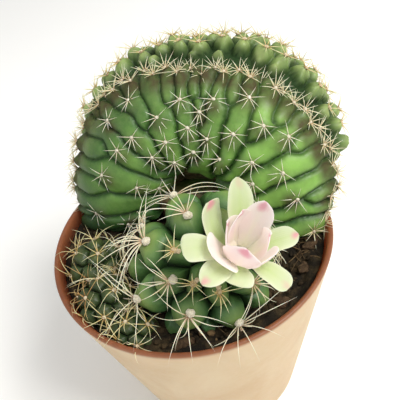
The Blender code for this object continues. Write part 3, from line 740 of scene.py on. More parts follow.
def build_fan(skin, spine_soup, wool_soup):
    rows, cols = 360, 250
    reach = math.radians(FAN_REACH) * 0.998
    u = np.linspace(-1, 1, rows)
    # a little denser towards the rounded ends
    T = reach * (0.88 * u + 0.12 * np.sin(u * math.pi / 2) ** 3)
    fine = np.linspace(0, len(FAN_SECTION), 1501)
    sec = fan_section(fine) * np.array([31.0, 1.0])
    arc = np.concatenate([[0], np.cumsum(np.linalg.norm(np.diff(sec, axis=0), axis=1))])
    S = np.interp(np.arange(cols) * arc[-1] / cols, arc, fine)
    P = fan_point(T[:, None], S[None, :])
    N = grid_normals(P)
    across, up, normal = fan_axes()
    mid = FAN_HUB + 0.55 * 31.0 * up - 4.5 * normal
    if np.mean(np.einsum("ijk,ijk->ij", N, P - mid)) < 0:
        N = -N
    st, ss, kind = fan_sites()
    p, lat, grow, nor = surface_frame(fan_point, st, ss)
    sign = np.sign(np.einsum("ij,ij->i", nor, p - mid))
    # outward normals; growth points to the fan's edge on both faces
    front = ss < 6.0
    core = FAN_HUB + np.sin(st)[:, None] * across * 16 + np.cos(st)[:, None] * up * 16 - 4.5 * normal
    sign = np.where(np.einsum("ij,ij->i", nor, p - core) < 0, -1.0, 1.0)
    nor = nor * sign[:, None]
    grow = np.where(front[:, None], grow, -grow)
    lat = unit(np.cross(grow, nor))
    front_only = kind < 2
    size = np.where(kind == 1, 0.80, 1.12)
    sites = dict(p=p[front_only], lat=lat[front_only], grow=grow[front_only], nor=nor[front_only], size=size[front_only])
    flat = P.reshape(-1, 3)
    R = relief(flat, sites, 1.0, 2.6, 0.8, chin_at=1.9, chin_w=1.9)
    pts, ids = fan_lines()
    R["groove"], R["pillow"] = line_relief(flat, pts, ids, 0.40, 1.6, 0.8)
    rb = ~front_only
    bulk = np.random.default_rng(5).uniform(0.66, 1.10, rb.sum()) * np.where(kind[rb] == 3, np.where(ss[rb] < 6.85, 0.5, 0.72), 1.0)
    knob, near = knobs(flat, p[rb], lat[rb], grow[rb], nor[rb], bulk, 0.8)
    Sg = np.broadcast_to(S[None, :], (rows, cols)).reshape(-1)
    Tg = np.degrees(np.broadcast_to(T[:, None], (rows, cols)).reshape(-1))
    back = smoothstep(6.15, 6.75, Sg)
    hub = smoothstep(0.3, 1.8, Sg) * (1 - smoothstep(13.4, 14.5, Sg))
    line = np.exp(-((Sg - 5.8) / 0.6) ** 2)
    low = 1 - smoothstep(POT_HEIGHT - 3.0, POT_HEIGHT + 12.0, flat[:, 2])
    trough = np.exp(-((Sg - 6.75) / 0.38) ** 2)
    # 0 on the fan's left, 1 on its right: sets painted light on the right and painted shade on the left below
    side = smoothstep(-40.0, 60.0, Tg)
    rise = 1.0 * R["pillow"] - 0.8 * R["groove"] + 0.42 * R["chin"] - 0.28 * R["dimple"] - 0.62
    rise = rise * (1 - back) + back * (3.5 * knob - 1.85 + 0.22 * fractal(flat, 2.0, 613, 2)) - 1.5 * trough * (1 - 0.9 * knob)
    rise += 0.62 * (np.exp(-(R["dist"] / 2.3) ** 2) - 0.25) * (1 - back) * R["pillow"]
    rise += 0.75 * (np.exp(-(R["dist"] / 1.4) ** 2) - 0.3) * np.exp(-((Sg - 5.65) / 0.5) ** 2)
    rise += 0.30 * fractal(flat, 9.0, 5, 2)
    rise = rise * (0.25 + 0.75 * hub)
    # sunken middle of the fan, widest straight above the hub
    lip = 1.55 + 1.05 * np.exp(-((Tg - 10.0) / 34.0) ** 2) - 0.30 * (R["pillow"] - 0.5) + 0.16 * fractal(flat, 4.0, 9, 2)
    sunk = 1.0 - smoothstep(-1.05, 0.35, Sg - lip)
    rise -= 3.5 * sunk * (0.55 + 0.45 * np.exp(-((Tg - 10.0) / 50.0) ** 2))
    cork = (1.0 - smoothstep(-0.75, -0.15, Sg - lip)) * (1 - smoothstep(13.0, 14.2, Sg))
    moved = flat + N.reshape(-1, 3) * rise[:, None]
    moved = keep_in_pot(moved, 0.35)
    moved[:, 2] = np.maximum(moved[:, 2], SOIL_TOP - 3.0)
    verts, faces = capped(rows, cols, moved)
    pad = lambda a: np.concatenate([a, [a[0], a[-1]]])
    band = smoothstep(4.65, 5.30, Sg) * (1 - smoothstep(6.3, 6.9, Sg))
    # below each areole: partly purple-brown skin, partly painted shadow under the spine cluster
    under = np.clip(1.4 * R["tint"], 0, 1) * (1 - back) * (0.75 + 0.35 * fractal(flat, 4.0, 78, 2))
    patchy = 0.70 + 0.40 * fractal(flat, 3.0, 77, 2)
    tint = np.clip(0.95 * under + 0.80 * band * smoothstep(0.05, 0.5, R["pillow"]) * patchy, 0, 1)
    # painted light on the back knob tops, partly paler young skin too, and on the rib crowns near the growing line
    tip = np.clip(back * (1.05 * np.exp(-(near / 1.9) ** 2) + 0.22 * knob), 0, 1)
    tip = np.maximum(tip, 0.34 * smoothstep(3.9, 5.1, Sg) * (1 - back) * R["pillow"] * (0.8 + 0.5 * fractal(flat, 6.0, 80, 2)))
    tip = np.clip(tip, 0, 1)
    # painted shade: dark creases between the ribs, a dark trough behind the growing line and dark gaps between the back
    # knobs
    painted_shade = np.clip(0.86 * R["groove"] ** 1.5 * (1 - back) + 0.95 * trough * (1 - 0.6 * knob) + back * (1 - smoothstep(0.10, 0.72, knob)), 0, 1)
    # painted shade under the fan's left lobe, low by the rim
    shade = (1 - smoothstep(POT_HEIGHT - 3.0, POT_HEIGHT + 4.5, flat[:, 2])) * (1 - smoothstep(-75.0, -45.0, Tg))
    painted_shade = np.maximum(painted_shade, 0.8 * shade)
    # yellow-green rib crowns towards the pit are the skin's own colour; the share over the fan's right side below is
    # painted light
    lime = np.clip(0.62 * smoothstep(0.3, 0.9, R["pillow"]) * (1 - smoothstep(3.0, 4.8, Sg)) * (1 - low), 0, 1)
    lime = np.clip(np.maximum(lime, 0.98 * side * smoothstep(0.35, 0.9, R["pillow"])), 0, 1) * (1 - back) * (1 - 0.8 * band)
    # painted shade: cooler, darker skin low down and over the fan's left side
    low_left_shade = np.clip(low * 0.8 + 0.45 * (1 - side) * (0.6 + 0.6 * fractal(flat, 8.0, 79, 2)), 0, 1)
    attrs = dict(groove=pad(painted_shade), tint=pad(tint), tip=pad(tip), low=pad(low_left_shade), cork=pad(cork), lime=pad(lime))
    obj = make_piece("crested_stem_skin", verts, faces, skin, attrs, ("crested_stem",))

    # areoles and spines, rooted on the raised surface
    rng = np.random.default_rng(11)
    grid = moved.reshape(rows, cols, 3)
    for i in range(len(st)):
        r = int(np.argmin(np.abs(T - st[i])))
        c = int(np.argmin(np.abs(S - (ss[i] % 15))))
        root = grid[r, c]
        if root[2] < SOIL_TOP + 0.8:
            continue
        n = unit(nor[i])
        g, l = grow[i], lat[i]
        k = kind[i]
        root = root - n * 0.05
        if k == 3:
            continue
        tone = {0: 0.10, 1: 0.50, 2: 0.90}[int(k)] + rng.uniform(-0.1, 0.1)
        pad_r = {0: (0.46, 0.40, 0.28), 1: (0.45, 0.40, 0.30), 2: (0.60, 0.50, 0.36)}[int(k)]
        blob(wool_soup, root + n * 0.08, pad_r, (l, g, n), i + 3, 0.22, 7, 10, tone=max(0.0, tone - 0.25))
        if k == 0:
            angles = np.array([0, 30, -34, 70, -74, 112, -118, 168]) + rng.uniform(-10, 10, 8)
            if rng.random() < 0.4:
                angles = angles[:7]
            for a in angles:
                ar = math.radians(a)
                out = -math.cos(ar) * g + math.sin(ar) * l
                rise_a = math.radians(rng.uniform(10, 30))
                ln = (3.9 - 0.9 * (abs(a) / 180.0)) * rng.uniform(0.82, 1.15)
                spine(spine_soup, root + out * 0.2, out * math.cos(rise_a) + n * math.sin(rise_a), ln,
                      0.092, -n * rng.uniform(0.02, 0.18), tone)
        elif k == 1:
            for a in np.arange(13) * 27.7 + rng.uniform(0, 30):
                ar = math.radians(a + rng.uniform(-14, 14))
                out = math.cos(ar) * g + math.sin(ar) * l
                rise_a = math.radians(rng.uniform(12, 62))
                spine(spine_soup, root + out * 0.2, out * math.cos(rise_a) + n * math.sin(rise_a),
                      rng.uniform(2.6, 4.6), 0.10, -n * rng.uniform(0.0, 0.2), tone)
        else:
            for a in np.arange(7) * 51.4 + rng.uniform(0, 50):
                ar = math.radians(a + rng.uniform(-12, 12))
                out = math.cos(ar) * g + math.sin(ar) * l
                rise_a = math.radians(rng.uniform(14, 46))
                spine(spine_soup, root + out * 0.3, out * math.cos(rise_a) + n * math.sin(rise_a),
                      rng.uniform(3.0, 4.8), 0.11, -n * rng.uniform(0.02, 0.22), tone)
    return obj


def build_fan_base(skin):
    """corky stem foot under the fan's hub, running down into the mix"""
    rows, cols = 40, 72
    z = np.linspace(SOIL_TOP - 5.0, POT_HEIGHT + 4.5, rows)
    ang = np.arange(cols) * 2 * math.pi / cols
    k = 0.86 + 0.16 * smoothstep(0.0, 1.0, (z - z[0]) / (z[-1] - z[0]))
    P = np.zeros((rows, cols, 3))
    P[..., 0] = 4.5 + 11.2 * k[:, None] * np.cos(ang)[None]
    P[..., 1] = 12.0 + 7.2 * k[:, None] * np.sin(ang)[None]
    P[..., 2] = z[:, None]
    d = P - np.array([4.5, 12.0, 0]) * np.array([1, 1, 0]) - P * np.array([0, 0, 1])
    lump = fractal(P, 5.0, 31, 3)
    ribs = np.abs(np.sin(ang * 9))[None] ** 0.6
    P = P + unit(d) * (0.5 * lump + 0.8 * (ribs - 0.6))[..., None]
    v, f = capped(rows, cols, P)
    pad = lambda a: np.concatenate([a.reshape(-1), [0, 0]])
    # painted shade in the foot's rib valleys and the cool shade colour all over; the brown tint grows towards the mix
    groove = np.broadcast_to(np.clip(1 - ribs * 1.3, 0, 1), (rows, cols))
    tint = np.broadcast_to(1 - smoothstep(SOIL_TOP, POT_HEIGHT + 1, z)[:, None] * 0.5, (rows, cols))
    make_piece("crest_foot", v, f, skin,
               dict(groove=pad(groove), tint=pad(tint), tip=pad(tint * 0), low=pad(tint * 0 + 1), cork=pad(tint * 0 + 0.95)))


# =====================================================================================================
# globular heads
# =====================================================================================================
# name, centre, radius, axis; areoles as (azimuth, angle from the axis) in degrees, as seen from the front
FRONT_AREOLES = ((101, 80), (103, 43), (147, 60), (-171, 34), (-168, 74), (-126, 42), (-75, 54), (-89, 20),
                 (-123, 88), (147, 29), (-146, 19), (-36, 33), (9, 14), (-41, 69), (60, 34))
HEADS = (
    dict(name="front_head", c=(1.0, -11.2, POT_HEIGHT - 1.0), r=12.4, axis=(0.18, -0.59, 0.79), spacing=33.0,
         given=FRONT_AREOLES, rise=3.5, cut=2.1, rows=190, cols=300, big=True),
    dict(name="offset_head_upper", c=(-22.6, -1.8, POT_HEIGHT - 3.0), r=5.5, axis=(-0.15, -0.40, 0.9), spacing=46.0,
         given=((20, 24), (135, 34), (-100, 38)), rise=1.35, cut=0.8, rows=90, cols=130, big=False),
    dict(name="offset_head_middle", c=(-20.6, -13.6, POT_HEIGHT - 2.6), r=5.3, axis=(-0.1, -0.5, 0.85), spacing=46.0,
         given=((150, 30), (30, 36), (-80, 30)), rise=1.3, cut=0.8, rows=90, cols=130, big=False),
    dict(name="offset_head_lower", c=(-15.6, -21.9, POT_HEIGHT - 4.2), r=4.4, axis=(-0.1, -0.5, 0.85), spacing=50.0,
         given=((90, 30), (-60, 30)), rise=1.1, cut=0.7, rows=80, cols=110, big=False),
)


LONG_SPINES = (
    (0, (0.900, 0.330, 0.350), 15.0, (-0.121, -0.400, -0.425)), (0, (0.955, 0.210, 0.225), 13.4, (-0.095, -0.293, -0.314)),
    (0, (0.991, 0.030, 0.030), 12.8, (-0.043, -0.133, -0.143)), (0, (0.30, 0.55, 0.70), 4.6, (0.0, 0.0, 0.0)),
    (0, (-0.35, 0.55, 0.70), 4.4, (0.0, 0.0, 0.0)), (0, (-0.95, 0.15, 0.20), 6.6, (-0.05, -0.25, -0.30)),
    (0, (-0.95, 0.00, 0.10), 5.6, (-0.05, -0.20, -0.25)), (0, (-0.80, 0.30, 0.35), 5.2, (-0.10, -0.20, -0.40)),
    (1, (-0.131, 0.178, 0.924), 6.0, (-0.10, 0.05, 0.0)), (1, (0.379, 0.244, 0.848), 4.8, (0.0, 0.05, 0.05)),
    (1, (0.612, 0.174, 0.773), 4.6, (0.05, 0.10, 0.10)), (1, (-0.80, 0.166, 0.59), 8.8, (-0.076, -0.233, -0.25)),
    (1, (-0.624, 0.244, 0.675), 7.0, (-0.065, -0.20, -0.214)), (1, (-0.938, -0.093, 0.314), 5.4, (0.0, -0.15, -0.15)),
    (1, (-0.45, 0.30, 0.85), 4.6, (-0.10, 0.0, 0.0)),
    (2, (-0.80, 0.40, 0.50), 8.0, (-0.10, -0.55, -0.45)), (2, (-0.72, 0.50, 0.50), 8.6, (-0.15, -0.50, -0.50)),
    (2, (-0.25, 0.45, 0.85), 9.5, (0.60, 0.45, -0.25)), (2, (0.22, 0.45, 0.85), 8.6, (0.10, 0.32, 0.0)),
    (2, (-0.90, 0.10, 0.40), 7.6, (-0.10, -0.10, -0.35)), (2, (-0.90, -0.10, 0.25), 9.2, (-0.10, -0.35, -0.25)),
    (2, (-0.50, -0.55, 0.35), 11.0, (0.10, -0.50, -0.35)), (2, (-0.35, -0.60, 0.40), 10.0, (0.30, -0.45, -0.35)),
    (2, (-0.62, -0.40, 0.50), 9.6, (0.12, -0.60, -0.50)),
    (4, (-0.50, 0.45, 0.60), 9.0, (-0.35, 0.35, 0.10)), (4, (-0.75, 0.30, 0.45), 8.0, (-0.05, 0.55, 0.15)),
    (4, (-0.60, -0.50, 0.40), 8.0, (-0.10, -0.30, -0.40)), (4, (0.10, -0.75, 0.40), 9.0, (-0.25, -0.35, -0.40)),
    (5, (-0.50, -0.72, 0.30), 8.6, (0.00, -0.10, -0.50)), (5, (-0.12, -0.88, 0.28), 8.0, (0.05, -0.05, -0.55)),
    (5, (0.34, -0.80, 0.30), 7.6, (0.05, -0.05, -0.50)), (5, (0.80, -0.40, 0.35), 7.4, (0.10, -0.05, -0.45)),
    (6, (-0.52, -0.72, 0.46), 9.8, (0.00, -0.05, -0.55)), (6, (-0.20, -0.84, 0.50), 9.4, (0.05, -0.05, -0.60)),
    (6, (0.16, -0.84, 0.50), 9.0, (0.05, -0.05, -0.60)), (6, (0.62, -0.58, 0.50), 9.4, (0.10, 0.05, -0.50)),
    (6, (0.90, -0.10, 0.42), 11.5, (0.05, 0.25, -0.35)), (6, (0.84, 0.14, 0.50), 10.4, (0.10, 0.30, -0.30)),
    (8, (0.95, 0.10, 0.25), 9.0, (0.10, 0.25, -0.10)), (8, (0.30, -0.80, 0.35), 8.5, (0.15, -0.20, -0.45)),
    (8, (-0.35, -0.80, 0.35), 8.5, (-0.15, -0.15, -0.45)))


def sphere_dir(az, polar, ax, e1, e2):
    az, polar = np.radians(az), np.radians(polar)
    return (np.sin(polar) * np.cos(az))[..., None] * e1 + (np.sin(polar) * np.sin(az))[..., None] * e2 \
        + np.cos(polar)[..., None] * ax


def head_sites(spec):
    """the given areoles, then others on a spiral wherever there is room"""
    ax, e1, e2 = cross_frame(spec["axis"])
    dirs = [sphere_dir(np.array(float(a)), np.array(float(p)), ax, e1, e2) for a, p in spec["given"]]
    spacing = math.radians(spec["spacing"])
    for k in range(400):
        polar = math.degrees(math.acos(1 - 1.55 * (k + 0.5) / 400))
        d = sphere_dir(np.array(k * 137.508), np.array(polar), ax, e1, e2)
        if all(math.acos(float(np.clip(d @ o, -1, 1))) > spacing * 0.92 for o in dirs):
            dirs.append(d)
    return np.array(dirs), ax, e1, e2


def build_head(spec, skin, spine_soup, wool_soup):
    dirs, ax, e1, e2 = head_sites(spec)
    C, r0 = np.array(spec["c"]), spec["r"]
    rows, cols = spec["rows"], spec["cols"]
    th = np.linspace(0.012, math.pi - 0.35, rows)
    ph = np.arange(cols) * 2 * math.pi / cols
    D = (np.sin(th)[:, None] * np.cos(ph)[None])[..., None] * e1 + (np.sin(th)[:, None] * np.sin(ph)[None])[..., None] * e2 \
        + (np.cos(th)[:, None] + 0 * ph[None])[..., None] * ax
    flat = (C + D * r0).reshape(-1, 3)
    nor = dirs
    grow = unit(ax - (dirs @ ax)[:, None] * dirs)
    lat = unit(np.cross(grow, nor))
    sites = dict(p=C + dirs * r0, lat=lat, grow=grow, nor=nor)
    k = r0 / 13.2
    narrow = 0.95 * k if spec["big"] else 0.6 * k
    wide = (4.2 if spec["big"] else 4.6) * k
    R = relief(flat, sites, narrow, wide, 0.84, chin_at=2.2 * k, chin_w=2.4 * k, pair_floor=0.8, warp=0.35 * k)
    rise = spec["rise"] * R["pillow"] * 1.25 - spec["cut"] * R["groove"] + 0.95 * k * R["chin"] - 0.3 * R["dimple"]
    rise = rise + 0.18 * fractal(flat, 4.0, 71, 2)
    if spec["big"]:
        crown = np.arccos(np.clip(D.reshape(-1, 3) @ unit(np.array([0.36, 0.56, 0.75])), -1, 1))
        rise = rise + 3.2 * np.exp(-(crown / math.radians(29.0)) ** 2)
    moved = flat + D.reshape(-1, 3) * rise[:, None]
    moved = keep_in_pot(moved, 0.3)
    moved[:, 2] = np.maximum(moved[:, 2], SOIL_TOP - 3.0)
    verts, faces = capped(rows, cols, moved)
    pad = lambda a: np.concatenate([a, [a[0], a[-1]]])
    # painted shade low down by the rim, painted light on the tubercle crowns fading low down, and painted shade in the
    # grooves between tubercles
    low = 1 - smoothstep(POT_HEIGHT - 5, POT_HEIGHT + 7, flat[:, 2])
    tip = np.clip(R["pillow"] * 1.1 - 0.25, 0, 1) * 0.55 * (1 - low * 0.5)
    near = np.exp(-((R["dist"] - 1.6 * k) / (2.4 * k)) ** 2)
    lime = near * smoothstep(0.35, 0.9, R["pillow"]) * (1 - 0.6 * low) * (0.85 if spec["big"] else 0.35)
    attrs = dict(groove=pad(np.clip(R["groove"] ** 0.85 * 1.1, 0, 1)), tint=pad(0.5 * R["tint"]), tip=pad(tip * 0.6), low=pad(0.2 + 0.6 * low),
                 cork=pad(np.zeros(len(flat))), lime=pad(lime))
    make_piece(spec["name"] + "_skin", verts, faces, skin, attrs, (spec["name"],))

    rng = np.random.default_rng(len(spec["name"]) * 7 + int(r0 * 10))
    grid = moved
    for i, d in enumerate(dirs):
        j = int(np.argmax(flat @ d - C @ d))
        j = int(np.argmin(np.linalg.norm(flat - (C + d * r0), axis=1)))
        root = grid[j]
        if root[2] < SOIL_TOP + 0.5:
            continue
        g, l = grow[i], lat[i]
        n = unit(d + 0.12 * g)
        if spec["big"] and i >= 14 and (i == 14 or d @ unit(np.array([0.36, 0.56, 0.75])) > 0.62):
            continue
        polar = math.degrees(math.acos(float(np.clip(d @ ax, -1, 1))))
        if spec["big"]:
            young = polar < 30
            wool = 0.5 if young else (0.95 if i < len(spec["given"]) else 0.6)
            tone = 0.95 if young else 0.30
            blob(wool_soup, root + g * 0.7 + n * 0.35, (wool, wool * 0.95, wool * 0.84), (l, g, n), i + 200,
                 0.16, 16, 22, tone=0.15 if not young else 0.7)
            blob(wool_soup, root - g * 0.35 + n * 0.05, (0.65, 0.85, 0.4), (l, g, n), i + 300, 0.2, 8, 12,
                 tone=0.8)
            mine = [q for q in LONG_SPINES if q[0] == i]
            for _, way, ln, curve in mine:
                spine(spine_soup, root - g * 0.4 + unit(way) * 0.3, way, ln * 1.12, 0.13, curve, 0.1 + 0.2 * rng.random(), steps=17)
            count = 8 if young else (0 if i < 2 else 6 if mine else 10)
            reach = 118 if young else 98
            spread = np.linspace(-reach, reach, count) + rng.uniform(-14, 14, count)
            for a in spread:
                ar = math.radians(a)
                out = -math.cos(ar) * g + math.sin(ar) * l
                up_a = math.radians(rng.uniform(24, 52))
                ln = (rng.uniform(3.4, 5.4) if young else rng.uniform(6.8, 11.6)) * (1 - 0.10 * abs(a) / 118)
                hook = rng.uniform(0.12, 0.35) if young else rng.uniform(0.35, 0.9)
                spine(spine_soup, root - g * 0.45 + out * 0.3 + n * 0.15, out * math.cos(up_a) + n * math.sin(up_a), ln,
                      0.125, -n * hook + l * rng.uniform(-0.45, 0.45) - g * rng.uniform(-0.05, 0.25),
                      np.clip(tone + rng.uniform(-0.2, 0.25), 0, 1), steps=15)
        else:
            wool = 0.45
            blob(wool_soup, root + n * 0.1, (wool, wool, wool * 0.7), (l, g, n), i + 400, 0.2, 8, 12, tone=0.55)
            tone = rng.uniform(0.4, 1.2) + (0.7 if root[0] < -22.0 else 0.0)
            for a in np.arange(8) * 45.0 + rng.uniform(0, 40):
                ar = math.radians(a + rng.uniform(-20, 20))
                out = math.cos(ar) * g + math.sin(ar) * l
                up_a = math.radians(rng.uniform(10, 55))
                spine(spine_soup, root + out * 0.2, out * math.cos(up_a) + n * math.sin(up_a), rng.uniform(3.4, 7.4),
                      0.105, -n * rng.uniform(0.2, 0.75) + l * rng.uniform(-0.4, 0.4), tone, steps=9)


# =====================================================================================================
# flower
# =====================================================================================================
# azimuth, sideways bend, opening angle at the foot and at the tip, length, width, strength of the pink tip
OUTER_PETALS = ((94, 0, 30, 64, 12.9, 5.6, 0.3, 0.35), (145, -20, 80, 30, 10.0, 6.2, 1.0, -0.3), (180, 0, 50, 98, 10.8, 6.3, 0.05, -1.0),
                (214, 0, 50, 104, 10.1, 4.9, 0.8, 0.4), (243, 0, 46, 96, 6.1, 6.6, 0.1, -0.7), (303, 0, 46, 90, 9.5, 4.5, 0.4, 0.0),
                (7, 0, 44, 84, 9.7, 4.5, 1.0, 0.3))
INNER_PETALS = ((64, 0, 24, 14, 11.6, 5.7, 0.8, 0.2), (122, 0, 26, 0, 10.3, 6.8, 0.8, 0.5), (148, 0, 42, 17, 7.8, 8.6, 0.9, 0.3),
                (198, 0, 53, 45, 8.9, 8.6, 0.0, 0.0), (234, 0, 46, -20, 9.4, 7.6, 0.9, 0.4), (300, 0, 46, 0, 8.4, 7.2, 0.0, 0.2),
                (341, 0, 36, -18, 8.9, 6.6, 0.8, 0.4))
INNER_RING = (1.45, 1.9, 1.3, 1.9, 2.25, 1.9, 1.35)


def build_petal(name, spec, ring_r, thick, twist, material, node, seed):
    azimuth, bend_az, foot, tip_angle, length, width, blush, point = spec
    inner = ring_r < 2.4
    late = 0.0 if inner else 0.79
    ax, e1, e2 = cross_frame(FLOWER_AXIS)
    fine, steps, half = 160, 46, 11
    pos = np.array([ring_r, 0.30])
    path = []
    for i in range(fine + 1):
        s = i / fine
        ang = math.radians(foot + (tip_angle - foot) * (late * s * s * (3 - 2 * s) + (1 - late) * s))
        path.append((pos.copy(), ang))
        pos = pos + np.array([math.sin(ang), math.cos(ang)]) * (length / fine)
    rng = np.random.default_rng(seed)
    phase, amp = rng.uniform(0, 6.28), rng.uniform(0.10, 0.22)
    curl = rng.uniform(-0.10, 0.12)
    xs = np.sin(np.linspace(-1, 1, half * 2 + 1) * math.pi / 2)
    top, bottom, al, ac = [], [], [], []
    for i in range(steps):
        s = 0.992 * (i / (steps - 1)) ** 0.92
        (r, h), ang = path[int(round(s * fine))]
        az = math.radians(azimuth + bend_az * s)
        radial = math.cos(az) * e1 + math.sin(az) * e2
        side = -math.sin(az) * e1 + math.cos(az) * e2
        inward = -math.cos(ang) * radial + math.sin(ang) * ax
        grow = min(1.0, s / (0.58 - 0.27 * min(0.0, point)))
        grow = grow * grow * (3 - 2 * grow)
        w = 0.5 * width * ((0.46 if inner else 0.42) + (0.54 if inner else 0.58) * grow)
        from_s = 0.66 - 0.14 * point
        if s > from_s:
            k = (s - from_s) / (1.0 - from_s)
            w *= max(0.0, 1 - k ** ((2.3 if inner else 3.0) - 0.9 * point)) ** (0.5 + 0.35 * max(0.0, point))
        tw = math.radians(twist) * min(1.0, s / 0.3)
        t = thick * (1 - 0.45 * s)
        base = FLOWER_THROAT + r * radial + h * ax
        for side_sign, bucket in ((1, top), (-1, bottom)):
            row = []
            for x in xs:
                edge = (1 - x * x) ** 0.5
                xx = x * w
                cup = (0.25 if inner else 0.13) * xx * xx / (width * 0.5)
                ridge = 0.16 * math.exp(-(x / 0.16) ** 2) * (1 - s)
                ruffle = amp * abs(x) ** 3 * math.sin(9.0 * s + phase + 2.2 * x) * grow
                cup = min(cup, 1.9)
                lift = cup + ruffle - ridge + curl * s * s * x * 2.0 + side_sign * 0.5 * t * edge
                row.append(base + (xx * math.cos(tw) - lift * math.sin(tw)) * side
                           + (xx * math.sin(tw) + lift * math.cos(tw)) * inward)
            bucket.append(row)
        al.append(np.full(len(xs), s))
        ac.append(xs)
    n = len(xs)
    rings = []
    a_al, a_ac = [], []
    for i in range(steps):
        # once round the section: over the top, back underneath
        rings.append(top[i] + bottom[i][::-1][1:-1])
        a_al += [al[i][0]] * (2 * n - 2)
        a_ac += list(xs) + list(xs[::-1][1:-1])
    verts, faces = capped(steps, 2 * n - 2, rings)
    attrs = dict(along=np.concatenate([a_al, [0, 1]]), across=np.concatenate([a_ac, [0, 0]]),
                 blush=np.full(len(verts), blush))
    make_piece(name, verts, faces, material, attrs, (node,))


def build_flower(m_outer, m_inner, m_tube, m_stamen):
    ax, e1, e2 = cross_frame(FLOWER_AXIS)
    for k, spec in enumerate(OUTER_PETALS):
        build_petal("outer_petal_%d_sheet" % (k + 1), spec, 2.5, 0.40, 5.0, m_outer, "outer_petal_%d" % (k + 1), 40 + k)
    for k, spec in enumerate(INNER_PETALS):
        build_petal("inner_petal_%d_sheet" % (k + 1), spec, INNER_RING[k], 0.34, 3.0, m_inner,
                    "inner_petal_%d" % (k + 1), 60 + k)
    # tube with small overlapping scales
    rows, cols = 60, 72
    h = np.linspace(-8.0, 0.15, rows)
    prof = np.interp(h, (-8.0, -5.2, -3.2, -1.2, -0.35, 0.0, 0.15), (2.05, 2.15, 2.45, 2.95, 3.05, 2.8, 2.4))
    ang = np.arange(cols) * 2 * math.pi / cols
    H, A = np.meshgrid(h, ang, indexing="ij")
    scale = np.zeros_like(H)
    for row in range(5):
        for k in range(6):
            a0 = 2 * math.pi * (k + 0.5 * (row % 2)) / 6
            h0 = -6.8 + row * 1.45
            da = (A - a0 + math.pi) % (2 * math.pi) - math.pi
            x, y = da * 2.5, H - h0
            lobe = np.exp(-((x / (0.85 - 0.22 * y)) ** 4)) * smoothstep(-1.2, 0.9, y) * (1 - smoothstep(0.9, 1.05, y))
            scale = np.maximum(scale, lobe)
    Rr = prof[:, None] + 0.32 * scale
    P = FLOWER_THROAT + H[..., None] * ax + (Rr * np.cos(A))[..., None] * e1 + (Rr * np.sin(A))[..., None] * e2
    v, f = capped(rows, cols, P)
    pad = lambda a: np.concatenate([a.reshape(-1), [0, 0]])
    make_piece("flower_tube_scales", v, f, m_tube,
               dict(scale=pad(scale), height=pad((H + 8) / 8.2)), ("flower_tube",))
    # style with a lobed stigma
    soup = Soup()
    s = np.linspace(0, 1, 12)[:, None]
    path = FLOWER_THROAT + ax * (0.2 + 0.7 * s) + e1 * 0.12 * np.sin(3 * s)
    v, f, al = tube_along(path, 0.30 + 0.0 * s[:, 0], 10)
    soup.add(v, f, along=al, tone=0.0)
    top = path[-1]
    for k in range(7):
        a = 2 * math.pi * k / 7
        out = math.cos(a) * e1 + math.sin(a) * e2
        q = np.linspace(0, 1, 7)[:, None]
        lobe = top - ax * 0.1 + out * (0.15 + 0.62 * q) + ax * (0.75 * q - 0.2 * q ** 2)
        v, f, al = tube_along(lobe, 0.15 - 0.08 * q[:, 0], 7)
        soup.add(v, f, along=al, tone=0.2)
    soup.piece("style_and_stigma", m_stamen, "stamen", ("style",))
    soup = Soup()
    rng = np.random.default_rng(9)
    for k in range(30):
        a = 2 * math.pi * k / 30 + rng.uniform(-0.08, 0.08)
        out = math.cos(a) * e1 + math.sin(a) * e2
        ln = rng.uniform(0.22, 0.4)
        q = np.linspace(0, 1, 7)[:, None]
        r0 = 0.55 + 0.22 * (k % 2)
        p = FLOWER_THROAT + out * (r0 + 0.28 * q) + ax * (0.15 + ln * q) - out * 0.12 * q ** 2
        v, f, al = tube_along(p, np.full(7, 0.075), 6)
        soup.add(v, f, along=al, tone=0.35)
        blob(soup, p[-1] + ax * 0.05, (0.13, 0.10, 0.17), (out, np.cross(ax, out), ax), k + 50, 0.2, 6, 9, along=1.0, tone=1.0)
    soup.piece("stamen_ring", m_stamen, "stamen", ("stamens",))


def tube_material():
    m = Shade("flower_tube_shade")
    n = m.noise(500.0, 3.0)
    col = m.mix(m.span(n, 0.3, 0.7), lin((120, 142, 78)), lin((152, 168, 98)))
    col = m.mix(m.attr("scale"), col, lin((196, 204, 138)))
    col = m.mix(m.span(m.attr("height"), 0.5, 1.0, 0.0, 0.8), col, lin((214, 224, 160)))
    m.set(color=col, rough=m.span(n, 0.3, 0.7, 0.4, 0.55), spec=0.4, sss=0.15, sss_scale=0.001,
          normal=m.bump(m.noise(1800.0, 3.0), 0.3, 0.0002))
    return m.mat


def stamen_material():
    m = Shade("stamen_shade")
    n = m.noise(3000.0, 3.0, 0.7)
    col = m.mix(m.attr("tone"), lin((236, 232, 190)), m.ramp(n, [(0.3, (226, 196, 110)), (0.7, (246, 226, 156))]))
    m.set(color=col, rough=m.span(n, 0.3, 0.7, 0.6, 0.9), spec=0.25, sss=0.1, sss_scale=0.0006,
          normal=m.bump(n, 0.6, 0.0002))
    return m.mat


# =====================================================================================================
# potting mix and pot
# =====================================================================================================
def mix_height(x, y):
    lump = 0.5 + 0.22 * np.sin(0.31 * x + 1.0) * np.cos(0.27 * y) + 0.18 * np.sin(0.55 * x - 0.42 * y + 2.0)
    return SOIL_TOP - 0.9 * np.clip(lump, 0, 1)


